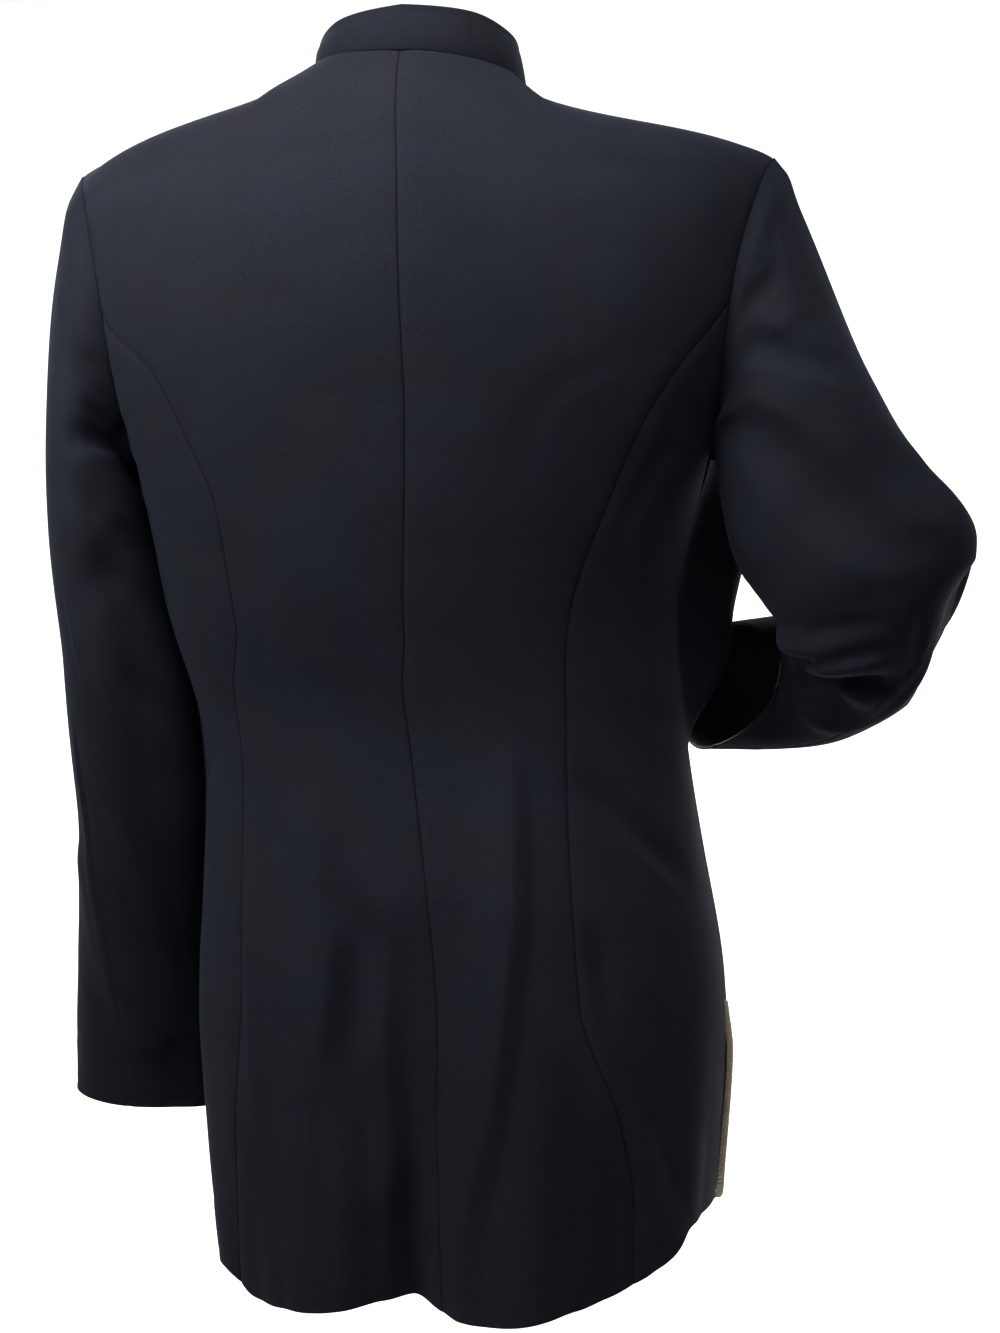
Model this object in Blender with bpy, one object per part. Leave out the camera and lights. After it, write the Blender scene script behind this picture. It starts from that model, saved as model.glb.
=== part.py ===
"""A long stand-collar jacket, hollow and held open as it is when worn, in metres, +Z up.

The jacket's back faces +Y, its front faces -Y and the wearer's left is +X. The origin is where the
wearer's neck and shoulders carry it, level with the seam of the collar at the centre back. Every cloth piece
is a wall cut from a surface: the back and the front of the body, the collar, or a sleeve. A surface is worked
out from a short table with a row for each section, and a fold table pushes it in and out.
"""

import math

import bpy
import numpy as np

WALL = 0.0018            # cloth with its interfacing
SEAM_GAP = 0.0004        # between two pieces sewn together
FRONT_GAP = 0.0010       # between the two front edges, which meet
SLIT_SPREAD = 0.0030     # between the two edges of a side slit, at its top
SLIT_TOP = -0.592
SLIT_CORNER = 0.006      # over which the slit opens from its top

SHOULDER_TIP = (0.2220, 0.0, -0.0630)
PAD_RISE = 0.0020        # the shoulder pad's lift over a straight shoulder line
NECK_DIP = 0.0075        # how far the shoulder dips under that line, most a ninth of the way from the neck
UNDERARM = -0.248

NECK_HALF_WIDTH = 0.067
NECK_BACK = 0.056
NECK_FRONT = -0.078
SHOULDER_TURN = math.radians(68)  # where the shoulder seam meets the neck ring
NECK_SHARE_BACK = 0.32   # share of the back's top edge that is neckline
NECK_SHARE_FRONT = 0.44

# The neck seam and the top of the collar band, by degrees round from the centre back: height of each.
NECK_COLUMNS = ("turn", "seam_z", "band_z")
NECK_ROWS = (
    (0, 0.000, 0.0285),
    (40, 0.002, 0.0245),
    (68, 0.000, 0.0170),
    (90, -0.012, 0.0110),
    (110, -0.026, 0.0020),
    (140, -0.056, -0.0240),
    (180, -0.078, -0.0500),
)

# The body, hem to neck. level names the row; centre_y and centre_z are the middle of the back or front, edge_y
# and edge_z the side seam or the armhole, wide half the width at the side, and square how boxy the row is.
BODY_COLUMNS = ("level", "centre_z", "centre_y", "edge_z", "edge_y", "wide", "square")
EDGE_PULL = 2.5          # how late on its way to the edge a row leaves its oval
EDGE_SLOPE = 1.5         # how late it climbs or falls to the edge's height
BACK_ROWS = (
    (-0.765, -0.765, 0.131, -0.765, 0.000, 0.161, 2.4),
    (-0.680, -0.680, 0.127, -0.680, 0.000, 0.168, 2.4),
    (-0.592, -0.592, 0.121, -0.592, 0.000, 0.1715, 2.4),
    (-0.500, -0.500, 0.108, -0.500, 0.000, 0.161, 2.4),
    (-0.412, -0.412, 0.091, -0.412, 0.000, 0.1545, 2.4),
    (-0.335, -0.335, 0.101, -0.335, 0.000, 0.165, 2.4),
    (-0.290, -0.288, 0.108, -0.292, 0.000, 0.173, 2.4),
    (-0.248, -0.244, 0.113, -0.248, 0.000, 0.183, 2.4),
    (-0.236, -0.230, 0.114, -0.241, 0.027, 0.189, 2.4),
    (-0.215, -0.210, 0.115, -0.222, 0.043, 0.196, 2.4),
    (-0.185, -0.180, 0.117, -0.190, 0.052, 0.205, 2.4),
    (-0.150, -0.145, 0.117, -0.150, 0.055, 0.2125, 2.3),
    (-0.085, -0.080, 0.106, -0.098, 0.036, 0.2195, 2.1),
    (-0.033, -0.033, 0.083, -0.0745, 0.019, 0.2225, 2.0),
)
FRONT_ROWS = (
    (-0.765, -0.752, -0.126, -0.765, 0.000, 0.161, 2.4),
    (-0.680, -0.672, -0.123, -0.680, 0.000, 0.168, 2.4),
    (-0.592, -0.588, -0.119, -0.592, 0.000, 0.1715, 2.4),
    (-0.500, -0.498, -0.113, -0.500, 0.000, 0.161, 2.4),
    (-0.412, -0.412, -0.108, -0.412, 0.000, 0.1545, 2.5),
    (-0.335, -0.338, -0.126, -0.335, 0.000, 0.165, 2.7),
    (-0.290, -0.296, -0.138, -0.292, 0.000, 0.173, 2.8),
    (-0.248, -0.258, -0.139, -0.248, 0.000, 0.183, 2.7),
    (-0.236, -0.246, -0.137, -0.241, -0.027, 0.189, 2.6),
    (-0.215, -0.232, -0.134, -0.222, -0.043, 0.195, 2.5),
    (-0.185, -0.210, -0.128, -0.188, -0.053, 0.203, 2.4),
    (-0.150, -0.182, -0.119, -0.146, -0.053, 0.2105, 2.3),
    (-0.085, -0.130, -0.101, -0.098, -0.034, 0.2195, 2.1),
    (-0.033, -0.098, -0.087, -0.0745, -0.018, 0.2225, 2.0),
)

# Where the seams run: share of the way from the middle of the back (or front) to its edge, left positive.
SEAM_COLUMNS = ("level", "centre_back", "back_left", "back_right", "front_left", "front_right")
SEAM_ROWS = (
    (-0.765, 0.000, 0.60, -0.57, 0.55, -0.55),
    (-0.700, 0.000, 0.56, -0.46, 0.55, -0.55),
    (-0.650, 0.000, 0.53, -0.405, 0.54, -0.54),
    (-0.577, -0.005, 0.48, -0.305, 0.54, -0.54),
    (-0.500, 0.000, 0.50, -0.318, 0.53, -0.53),
    (-0.403, 0.010, 0.50, -0.355, 0.50, -0.50),
    (-0.340, -0.012, 0.385, -0.40, 0.46, -0.46),
    (-0.276, -0.015, 0.395, -0.475, 0.47, -0.47),
    (-0.232, -0.015, 0.465, -0.54, 0.54, -0.54),
    (-0.193, -0.012, 0.575, -0.665, 0.66, -0.66),
    (-0.150, -0.010, 1.00, -1.00, 1.00, -1.00),
    (-0.100, -0.010, 1.40, -1.40, 1.40, -1.40),
    (0.000, 0.005, 1.60, -1.60, 1.80, -1.80),
)
JUNCTION = -0.150        # where the princess seams meet the armholes
JUNCTION_TIP = 0.0080    # how far below it the side pieces end
ARMHOLE_MIDDLE = (0.205, 0.0, -0.150)
ARMHOLE_AIM = (0.165, 0.0, -0.155)  # the point the cut edge of the cloth faces, all round an armhole
AIM_FROM = 0.90          # share of the face from which the cloth turns to face it
AIM_OVER = 0.09

# The levels at which every piece of the body has a row of points.
LEVELS = (
    -0.765, -0.720, -0.675, -0.630, -0.598, -0.592, -0.545, -0.500, -0.450, -0.412, -0.370, -0.335, -0.300,
    -0.270, -0.248, -0.236, -0.215, -0.190, -0.168, -0.150, -0.112, -0.072, -0.033, -0.014, 0.0,
)
NECK_STEPS = 5
SHOULDER_STEPS = 5
SIDE_COLUMNS = (0.0, 0.25, 0.5, 0.75, 0.88, 1.0)
CORNER_COLUMNS = (0.0, 0.25, 0.5, 0.70, 0.78, 0.86, 0.92, 0.97, 1.0)  # close together at the rounded corner

# Drop of the hem below its level at shares of the way round, from the left side seam to the right one.
HEM_COLUMNS = ("share", "back_drop", "front_drop")
HEM_ROWS = (
    (1.00, -0.012, -0.012),
    (0.70, -0.009, -0.003),
    (0.50, 0.002, 0.000),
    (0.06, -0.006, 0.000),
    (-0.03, 0.003, 0.000),
    (-0.20, -0.001, 0.000),
    (-0.40, -0.005, 0.000),
    (-0.55, -0.022, -0.002),
    (-0.70, -0.038, -0.012),
    (-1.00, -0.032, -0.032),
)

# Folds of the body. A fold is a soft ridge (rise above 0) or trough along a line from one place to another.
FOLD_COLUMNS = (
    "face", "share_from", "level_from", "share_to", "level_to", "half_width", "rise_from", "rise_to",
)
BODY_FOLDS = (
    ("back", 0.27, -0.560, 0.24, -0.800, 0.030, 0.000, 0.015),
    ("back", 0.06, -0.520, 0.06, -0.800, 0.030, 0.000, -0.028),
    ("back", -0.20, -0.440, -0.16, -0.800, 0.032, 0.003, 0.018),
    ("back", -0.44, -0.560, -0.40, -0.800, 0.028, 0.000, -0.010),
    ("back", -0.70, -0.560, -0.66, -0.800, 0.034, 0.000, 0.008),
    ("back", 0.74, -0.560, 0.72, -0.800, 0.034, 0.000, 0.006),
    ("front", 0.30, -0.540, 0.32, -0.800, 0.034, 0.000, 0.010),
    ("front", 0.60, -0.540, 0.58, -0.800, 0.030, 0.000, -0.008),
    ("front", -0.28, -0.560, -0.32, -0.800, 0.034, 0.000, 0.009),
    ("front", -0.58, -0.540, -0.60, -0.800, 0.030, 0.000, -0.009),
    ("front", -0.80, -0.315, -0.80, -0.370, 0.078, 0.034, 0.032),
    ("front", 0.80, -0.280, 0.80, -0.340, 0.060, 0.006, 0.005),
)
SHARE_LENGTH = 0.235     # metres of cloth from the middle of the back to the side
FOLD_FADE = 0.10         # share of the face over which a fold dies out before a sewn side edge

# Sleeve sections, shoulder to cuff: where the centre is, half the width across and front to back, and how far
# along the arm the section is slanted: lag draws its back side up the arm, and skew its inner side.
SLEEVE_COLUMNS = ("along", "x", "y", "z", "half_wide", "half_deep", "lag", "skew")
LEFT_SLEEVE = (
    (0.200, 0.2133, 0.004, -0.285, 0.0328, 0.073, 0.00, 0.0),
    (0.340, 0.2065, 0.006, -0.370, 0.0345, 0.067, 0.00, 0.0),
    (0.500, 0.2045, -0.002, -0.460, 0.0375, 0.059, 0.00, 0.0),
    (0.750, 0.2085, -0.020, -0.575, 0.0455, 0.047, 0.06, 0.0),
    (1.000, 0.2170, -0.036, -0.671, 0.0480, 0.039, 0.12, 0.0),
)
RIGHT_SLEEVE = (
    (0.200, -0.2340, 0.008, -0.228, 0.0500, 0.064, 0.00, 0.0),
    (0.360, -0.2530, 0.018, -0.286, 0.0630, 0.058, 0.00, 0.0),
    (0.520, -0.2760, 0.024, -0.324, 0.0680, 0.052, 0.00, 0.0),
    (0.660, -0.2740, 0.002, -0.367, 0.0480, 0.050, 0.00, 0.0),
    (0.770, -0.2500, -0.030, -0.390, 0.0370, 0.046, 0.00, 0.1),
    (0.880, -0.2220, -0.048, -0.398, 0.0360, 0.044, -0.20, 0.4),
    (1.000, -0.1910, -0.060, -0.402, 0.0370, 0.041, -0.52, 0.9),
)
HEAD_DROP = {1: 1.9, -1: 2.0}  # how steeply the sleeve head falls from the shoulder, per metre outward
UNDER_DROP = 0.6
HEAD_SPREAD = 0.35       # how far the head spreads to the front and the back, per metre outward
SLEEVE_STEPS = (
    0.0, 0.04, 0.09, 0.14, 0.20, 0.27, 0.34, 0.41, 0.48, 0.55, 0.62, 0.69, 0.76, 0.83, 0.91, 1.0,
)
SLEEVE_GIRTH = 0.34
SLEEVE_LENGTH = 0.60
SLEEVE_FOLD_COLUMNS = ("turn_from", "along_from", "turn_to", "along_to", "half_width", "rise_from", "rise_to")
LEFT_SLEEVE_FOLDS = (
    (0.20, 0.160, 0.32, 0.170, 0.018, -0.003, -0.005),
    (0.20, 0.280, 0.34, 0.240, 0.022, -0.003, -0.007),
    (0.12, 0.580, 0.30, 0.860, 0.026, 0.002, 0.004),
)
RIGHT_SLEEVE_FOLDS = (
    (0.20, 0.120, 0.30, 0.150, 0.018, -0.003, -0.005),
    (0.22, 0.560, 0.44, 0.600, 0.026, 0.002, 0.012),
    (0.30, 0.720, 0.46, 0.700, 0.024, -0.006, -0.018),
)

DOWN_POINTS = 18         # of the cord, down the slit
BEND_POINTS = 8          # round the corner
HEM_POINTS = 24          # along the hem
HEM_END = 0.008          # the share of the front's hem left bare by the cord, at the front edge

COLLAR_WALL = 0.0025
COLLAR_FRONT_GAP = math.radians(1.4)  # of the neck ring left open at the front
COLLAR_CORNER = 0.35     # radians of the ring over which its front corners are rounded
COLLAR_CORNER_DROP = 0.28  # share of the band's height lost at the very corner
COLLAR_STEPS = (0.0, 0.35, 0.70, 1.0)
BAND_HALF_WIDTH = 0.0625
BAND_BACK = 0.050
BAND_FRONT = -0.070

CORD_RADIUS = 0.0022
CORD_SIDES = 2           # extra corners in each quarter of the cord's round
CORD_GAP = 0.0006
CORNER_RADIUS = 0.022    # of the front's lower corner at the slit
FRONT_SLIT_CUT = SLIT_SPREAD / 2 + 2 * CORD_RADIUS + CORD_GAP

CLOTH_COLOUR = (0.012, 0.013, 0.018)
CLOTH_ROUGHNESS = 0.85
CORD_COLOUR = (0.50, 0.42, 0.28)
CORD_ROUGHNESS = 0.55
SHARP_TURN = math.radians(50)  # an edge that turns more than this is shaded sharp

LEAN = 0.020             # the left shoulder sits higher than the right, per metre across
SETTLE = 0.010           # how much lower the right of the neck sits than the left
SETTLE_X = -0.085
SETTLE_INSIDE = 0.085    # how far the settling reaches toward the middle, and toward the shoulder
SETTLE_OUTSIDE = 0.140
SETTLE_FROM = -0.300     # the height at which leaning and settling begin
SETTLE_OVER = 0.200

# How far the body is shifted to the wearer's left at each level, as its weight is on one leg.
SHIFT_ROWS = (
    (-0.765, -0.011),
    (-0.592, -0.010),
    (-0.500, -0.007),
    (-0.412, -0.002),
    (-0.335, 0.008),
    (-0.270, 0.005),
    (-0.200, 0.002),
    (-0.150, 0.001),
    (0.000, 0.000),
)


def table(columns, rows):
    """The columns of a table by name, as arrays."""
    values = zip(*rows)
    return {name: np.array(column) for name, column in zip(columns, values)}


def rising(knots, values):
    """Slopes of a smooth curve through the values that never swings past them (knots rising)."""
    step = np.diff(knots).reshape((-1,) + (1,) * (values.ndim - 1))
    secant = np.diff(values, axis=0) / step
    before, after = secant[:-1], secant[1:]
    wide, narrow = 2 * step[1:] + step[:-1], step[1:] + 2 * step[:-1]
    same = before * after > 0
    safe_before = np.where(same, before, 1.0)
    safe_after = np.where(same, after, 1.0)
    middle = np.where(same, (wide + narrow) / (wide / safe_before + narrow / safe_after), 0.0)
    return np.concatenate([secant[:1], middle, secant[-1:]])


def flowing(knots, values):
    """Slopes of a curve through the values that leans the way its neighbours lie."""
    step = np.diff(knots).reshape((-1,) + (1,) * (values.ndim - 1))
    secant = np.diff(values, axis=0) / step
    middle = (secant[:-1] * step[1:] + secant[1:] * step[:-1]) / (step[1:] + step[:-1])
    return np.concatenate([secant[:1], middle, secant[-1:]])


def blend_rows(knots, values, slopes, at):
    """A cubic through the rows: values has a row for each knot and a column for each entry of at."""
    index = np.clip(np.searchsorted(knots, at, side="right") - 1, 0, len(knots) - 2)
    column = np.arange(len(at))
    step = knots[index + 1] - knots[index]
    t = ((at - knots[index]) / step)[:, None]
    step = step[:, None]
    start, end = values[index, column], values[index + 1, column]
    leave, arrive = slopes[index, column] * step, slopes[index + 1, column] * step
    return (
        start * (1 + 2 * t) * (1 - t) ** 2
        + leave * t * (1 - t) ** 2
        + end * t**2 * (3 - 2 * t)
        + arrive * t**2 * (t - 1)
    )


def interpolate(knots, values, at):
    """A smooth curve of one number through the knots."""
    order = np.argsort(knots)
    knots, values = knots[order], values[order]
    at = np.clip(at, knots[0], knots[-1])
    spread = np.repeat(values[:, None, None], len(at), axis=1)
    return blend_rows(knots, spread, rising(knots, spread), at)[:, 0]


def unit(vectors):
    return vectors / np.linalg.norm(vectors, axis=-1, keepdims=True)


def smooth(x):
    x = np.clip(x, 0.0, 1.0)
    return x * x * (3 - 2 * x)


def ring(angle, half_width, back, front, heights):
    """A ring round the neck: angle 0 at the centre back, pi / 2 at the wearer's left, pi at the front."""
    turned = np.degrees(np.abs((angle + np.pi) % (2 * np.pi) - np.pi))
    rows = table(NECK_COLUMNS, NECK_ROWS)
    x = half_width * np.sin(angle)
    y = (back + front) / 2 + (back - front) / 2 * np.cos(angle)
    return np.stack([x, y, interpolate(rows["turn"], rows[heights], turned)], axis=1)


def neck_ring(angle):
    """The seam between the body and the collar."""
    return ring(angle, NECK_HALF_WIDTH, NECK_BACK, NECK_FRONT, "seam_z")


def shoulder_line(share):
    """The shoulder seam, from the neck (0) to the tip of the shoulder (1)."""
    neck, tip = neck_ring(np.array([SHOULDER_TURN]))[0], np.array(SHOULDER_TIP)
    line = neck + (tip - neck) * share[:, None]
    root = np.sqrt(share)
    line[:, 2] += PAD_RISE * np.sin(np.pi * share**2) - NECK_DIP * 6.75 * root * (1 - root) ** 2
    return line


def top_row(share, face):
    """The top edge of the back or the front: neckline, then shoulder seam."""
    neck_share = NECK_SHARE_BACK if face == "back" else NECK_SHARE_FRONT
    along = np.clip(share / neck_share, 0, 1)
    if face == "back":
        angle = along * SHOULDER_TURN
    else:
        angle = np.pi - along * (np.pi - SHOULDER_TURN)
    neckline = neck_ring(angle)
    shoulder = shoulder_line(np.clip((share - neck_share) / (1 - neck_share), 0, 1))
    return np.where((share < neck_share)[:, None], neckline, shoulder)


def section(row, share):
    """One row of the body, from the middle to its edge: part of an oval, boxy where square is over 2."""
    power = 2.0 / row["square"]
    turn = math.acos((row["edge_y"] / row["centre_y"]) ** (1 / power))
    angle = share * math.pi / 2 - (math.pi / 2 - turn) * share**EDGE_PULL
    x = row["wide"] * np.sin(angle) ** power
    y = row["centre_y"] * np.abs(np.cos(angle)) ** power
    z = row["centre_z"] + (row["edge_z"] - row["centre_z"]) * share**EDGE_SLOPE
    return np.stack([x, y, z], axis=1)


def settle(points):
    """The points moved as the whole jacket has settled: right side lower, near the neck most of all."""
    points = points.copy()
    x = points[:, 0] - SETTLE_X
    width = np.where(x > 0, SETTLE_INSIDE, SETTLE_OUTSIDE)
    bell = np.clip(1 - (x / width) ** 2, 0, None) ** 2
    upper = smooth((points[:, 2] - SETTLE_FROM) / SETTLE_OVER)
    points[:, 2] += (LEAN * points[:, 0] - SETTLE * bell) * upper
    return points


def body_base(face, share, level):
    """The back or the front without folds. share is -1 at the right edge, 0 in the middle, 1 at the left."""
    rows = BACK_ROWS if face == "back" else FRONT_ROWS
    named = [dict(zip(BODY_COLUMNS, row)) for row in rows]
    size, side = np.abs(share), np.sign(share)
    knots = np.array([row["level"] for row in named] + [0.0])
    values = np.stack([section(row, size) for row in named] + [top_row(size, face)])
    points = blend_rows(knots, values, rising(knots, values), level)
    points[:, 0] *= np.where(side == 0, 1, side)
    hem = table(HEM_COLUMNS, HEM_ROWS)
    drop = interpolate(hem["share"], hem[face + "_drop"], share)
    points[:, 2] -= drop * smooth((SLIT_TOP - level) / (SLIT_TOP - LEVELS[0]))
    shift = np.array(SHIFT_ROWS)
    points[:, 0] += interpolate(shift[:, 0], shift[:, 1], level)
    return settle(points)


def ridge(u, v, line, widths):
    """Height of a soft ridge at (u, v): line holds its two ends, widths its half width and its two rises."""
    (u0, v0), (u1, v1) = line
    half_width, rise_from, rise_to = widths
    length = math.hypot(u1 - u0, v1 - v0)
    along = ((u - u0) * (u1 - u0) + (v - v0) * (v1 - v0)) / length**2
    held = np.clip(along, 0, 1)
    away = np.hypot(u - u0 - held * (u1 - u0), v - v0 - held * (v1 - v0)) / half_width
    return (rise_from + (rise_to - rise_from) * held) * np.clip(1 - away**2, 0, None) ** 2


def body_rise(face, share, level):
    """How far the folds push the back or the front out."""
    rise = np.zeros_like(share)
    for row in BODY_FOLDS:
        fold = dict(zip(FOLD_COLUMNS, row))
        if fold["face"] != face:
            continue
        line = (
            (fold["share_from"] * SHARE_LENGTH, fold["level_from"]),
            (fold["share_to"] * SHARE_LENGTH, fold["level_to"]),
        )
        widths = (fold["half_width"], fold["rise_from"], fold["rise_to"])
        rise += ridge(share * SHARE_LENGTH, level, line, widths)
    return rise


def body_out(face, share, level):
    """The outward direction of the back or the front, from its base form."""
    step = 1e-3
    low = np.clip(level - step, LEVELS[0], -2 * step)
    high = np.clip(level + step, LEVELS[0] + 2 * step, 0)
    left, right = np.clip(share + step, -1, 1), np.clip(share - step, -1, 1)
    across = body_base(face, left, level) - body_base(face, right, level)
    up = body_base(face, share, high) - body_base(face, share, low)
    out = np.cross(up, across) if face == "back" else np.cross(across, up)
    return unit(out)


def body(face, share, level):
    """The outer face of the cloth, folds and all."""
    base = body_base(face, share, level)
    fade = smooth((1 - np.abs(share)) / FOLD_FADE)
    rise = body_rise(face, share, level) * np.where(level > SLIT_TOP, fade, 1.0)
    return base + body_out(face, share, level) * rise[:, None]


def sided(point, side):
    """A point given for the wearer's left, or its mirror image for the right."""
    return np.array(point) * np.array([side, 1.0, 1.0])


def from_armhole(points, side):
    """The way through the cloth along an armhole's edge, shared by the body and the sleeve."""
    return unit(sided(ARMHOLE_AIM, side) - points)


def wall_direction(face, share, level):
    """The way through the cloth, out to in. Pieces that meet at an angle share it along their seam."""
    points = body_base(face, share, level)
    inward = -body_out(face, share, level)
    size = np.abs(share)
    near_top = level > -1e-3
    neck_share = NECK_SHARE_BACK if face == "back" else NECK_SHARE_FRONT
    other_face = "front" if face == "back" else "back"
    other_neck = NECK_SHARE_FRONT if face == "back" else NECK_SHARE_BACK
    along = np.clip((size - neck_share) / (1 - neck_share), 0, 1)
    other = np.sign(share) * (other_neck + along * (1 - other_neck))
    across = -body_out(other_face, other, np.zeros_like(level))
    on_shoulder = near_top & (size > neck_share - 0.01)
    inward = inward + np.where(on_shoulder[:, None], across, 0.0)
    axis = np.stack([-points[:, 0], (NECK_BACK + NECK_FRONT) / 2 - points[:, 1], 0 * level], axis=1)
    on_neck = near_top & (size < neck_share + 0.01)
    inward = inward + np.where(on_neck[:, None], unit(axis), 0.0)
    for side in (1, -1):
        on_armhole = smooth((share * side - AIM_FROM) / AIM_OVER) * (level > UNDERARM - 1e-3)
        inward = unit(inward) * (1 - on_armhole[:, None])
        inward = inward + on_armhole[:, None] * from_armhole(points, side)
    return unit(inward)


def seam_share(name, level):
    """Where a seam runs at these levels, as a share of the face, no further out than the edge."""
    rows = table(SEAM_COLUMNS, SEAM_ROWS)
    return np.clip(interpolate(rows["level"], rows[name], level), -1.0, 1.0)


def shares_per_metre(face, share, level):
    """How much share one metre along the cloth takes, at a place."""
    step = 0.01
    inner = np.where(share > 0, share - step, share + step)
    span = np.linalg.norm(body_base(face, share, level) - body_base(face, inner, level), axis=1)
    return step / span


def patch(face, inner, outer, columns, levels, cuts, bottom=None):
    """A piece of the body as a grid of (share, level), cut back from its seams.

    inner and outer give the share of the two side seams at a level, and cuts what each edge loses there.
    bottom gives the lowest level at a distance in metres from the outer edge, where the hem isn't a plain line.
    """
    level = np.repeat(np.array(levels)[:, None], len(columns), axis=1)
    fraction = np.repeat(np.array(columns)[None, :], len(levels), axis=0)
    flat = level.ravel()
    low, high = inner(flat), outer(flat)
    outward = np.sign(high - low)
    inner_cut, outer_cut = cuts
    low = low + outward * inner_cut(flat) * shares_per_metre(face, low + outward * 1e-6, flat)
    high = high - outward * outer_cut(flat) * shares_per_metre(face, high, flat)
    share = low + (high - low) * fraction.ravel()
    if bottom is not None:
        away = np.abs(high - share) / shares_per_metre(face, high, flat)
        lowest = bottom(away)
        below = flat < SLIT_TOP
        squeezed = lowest + (flat - LEVELS[0]) * (SLIT_TOP - lowest) / (SLIT_TOP - LEVELS[0])
        flat = np.where(below, squeezed, flat)
    return share, flat, level.shape


def top_cut(levels):
    """The levels with the last one drawn back from the seam above it."""
    return tuple(levels[:-1]) + (levels[-1] - SEAM_GAP,)


def wall_mesh(outer, direction, thickness, shape, closed=False):
    """A closed wall from a grid of outer points: its inner face lies thickness away along direction.

    The grid's rows run the first way. A closed grid joins its last column to its first.
    """
    rows, columns = shape
    outer = outer.reshape(rows, columns, 3)
    inner = outer + direction.reshape(rows, columns, 3) * thickness
    count = rows * columns
    index = np.arange(count).reshape(rows, columns)
    if closed:
        index = np.concatenate([index, index[:, :1]], axis=1)
    a, b = index[:-1, :-1].ravel(), index[:-1, 1:].ravel()
    c, d = index[1:, 1:].ravel(), index[1:, :-1].ravel()
    faces = [np.stack([a, b, c, d], axis=1), np.stack([a, d, c, b], axis=1) + count]
    bottom, top = index[0], index[-1]
    faces.append(np.stack([bottom[1:], bottom[:-1], bottom[:-1] + count, bottom[1:] + count], axis=1))
    faces.append(np.stack([top[:-1], top[1:], top[1:] + count, top[:-1] + count], axis=1))
    if not closed:
        left, right = index[:, 0], index[:, -1]
        faces.append(np.stack([left[:-1], left[1:], left[1:] + count, left[:-1] + count], axis=1))
        faces.append(np.stack([right[1:], right[:-1], right[:-1] + count, right[1:] + count], axis=1))
    points = np.concatenate([outer.reshape(-1, 3), inner.reshape(-1, 3)])
    return points, np.concatenate(faces)


def signed_volume(points, faces):
    """Positive where the faces point out."""
    total = 0.0
    for corner in (1, 2):
        a, b, c = points[faces[:, 0]], points[faces[:, corner]], points[faces[:, corner + 1]]
        total += np.einsum("ij,ij->i", a, np.cross(b, c)).sum()
    return total


def material(name, colour, roughness):
    finish = bpy.data.materials.new(name)
    finish.use_nodes = True
    shader = finish.node_tree.nodes["Principled BSDF"]
    shader.inputs["Base Color"].default_value = (*colour, 1.0)
    shader.inputs["Roughness"].default_value = roughness
    shader.inputs["Metallic"].default_value = 0.0
    finish.diffuse_color = (*colour, 1.0)
    return finish


def place(name, points, faces):
    """A mesh object of cloth, with its faces turned out."""
    if signed_volume(points, faces) < 0:
        faces = faces[:, ::-1]
    mesh = bpy.data.meshes.new(name)
    mesh.from_pydata(points.tolist(), [], faces.tolist())
    mesh.materials.append(material(name, CLOTH_COLOUR, CLOTH_ROUGHNESS))
    mesh.shade_smooth()
    mesh.set_sharp_from_angle(angle=SHARP_TURN)
    thing = bpy.data.objects.new(name, mesh)
    bpy.context.scene.collection.objects.link(thing)


def centre_columns(face):
    """Fractions across a centre piece, close enough together for its neckline and its shoulder seam."""
    neck = NECK_SHARE_BACK if face == "back" else NECK_SHARE_FRONT
    neckline = np.linspace(0, neck, NECK_STEPS + 1)
    shoulder = np.linspace(neck, 1, SHOULDER_STEPS + 1)
    return np.concatenate([neckline, shoulder[1:]])


def body_piece(name, face, grid):
    share, level, shape = grid
    outer = body(face, share, level)
    points, faces = wall_mesh(outer, wall_direction(face, share, level), WALL, shape)
    place(name, points, faces)


def seam_cut(level):
    """What an edge loses at a seam."""
    return np.full_like(level, SEAM_GAP / 2)


def front_cut(level):
    """What a front edge loses."""
    return np.full_like(level, FRONT_GAP / 2)


def slit_cut(level, open_cut):
    """What a side edge loses: half a seam gap above the slit, and open_cut below it."""
    opened = smooth((SLIT_TOP - level) / SLIT_CORNER)
    return SEAM_GAP / 2 + (open_cut - SEAM_GAP / 2) * opened


def back_slit_cut(level):
    return slit_cut(level, SLIT_SPREAD / 2)


def front_slit_cut(level):
    """The front edge makes room for the cord that lies along it."""
    return slit_cut(level, FRONT_SLIT_CUT)


def rounded_corner(away):
    """The level of the front's hem at a distance from its slit edge."""
    inside = np.clip(CORNER_RADIUS - away, 0, CORNER_RADIUS)
    return LEVELS[0] + CORNER_RADIUS - np.sqrt(CORNER_RADIUS**2 - inside**2)


def side_levels():
    """The levels of the side pieces, which end just under the armhole's junction."""
    return tuple(level for level in LEVELS if level < JUNCTION - 1e-6) + (JUNCTION - JUNCTION_TIP,)


def back_pieces():
    for side, word in ((1, "left"), (-1, "right")):

        def centre(level):
            return seam_share("centre_back", level)

        def princess(level, word=word):
            return seam_share("back_" + word, level)

        def edge(level, side=side):
            return np.full_like(level, float(side))

        cuts = (seam_cut, seam_cut)
        grid = patch("back", centre, princess, centre_columns("back"), top_cut(LEVELS), cuts)
        body_piece("back_" + word, "back", grid)
        grid = patch("back", princess, edge, SIDE_COLUMNS, side_levels(), (seam_cut, back_slit_cut))
        body_piece("side_back_" + word, "back", grid)


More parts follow.
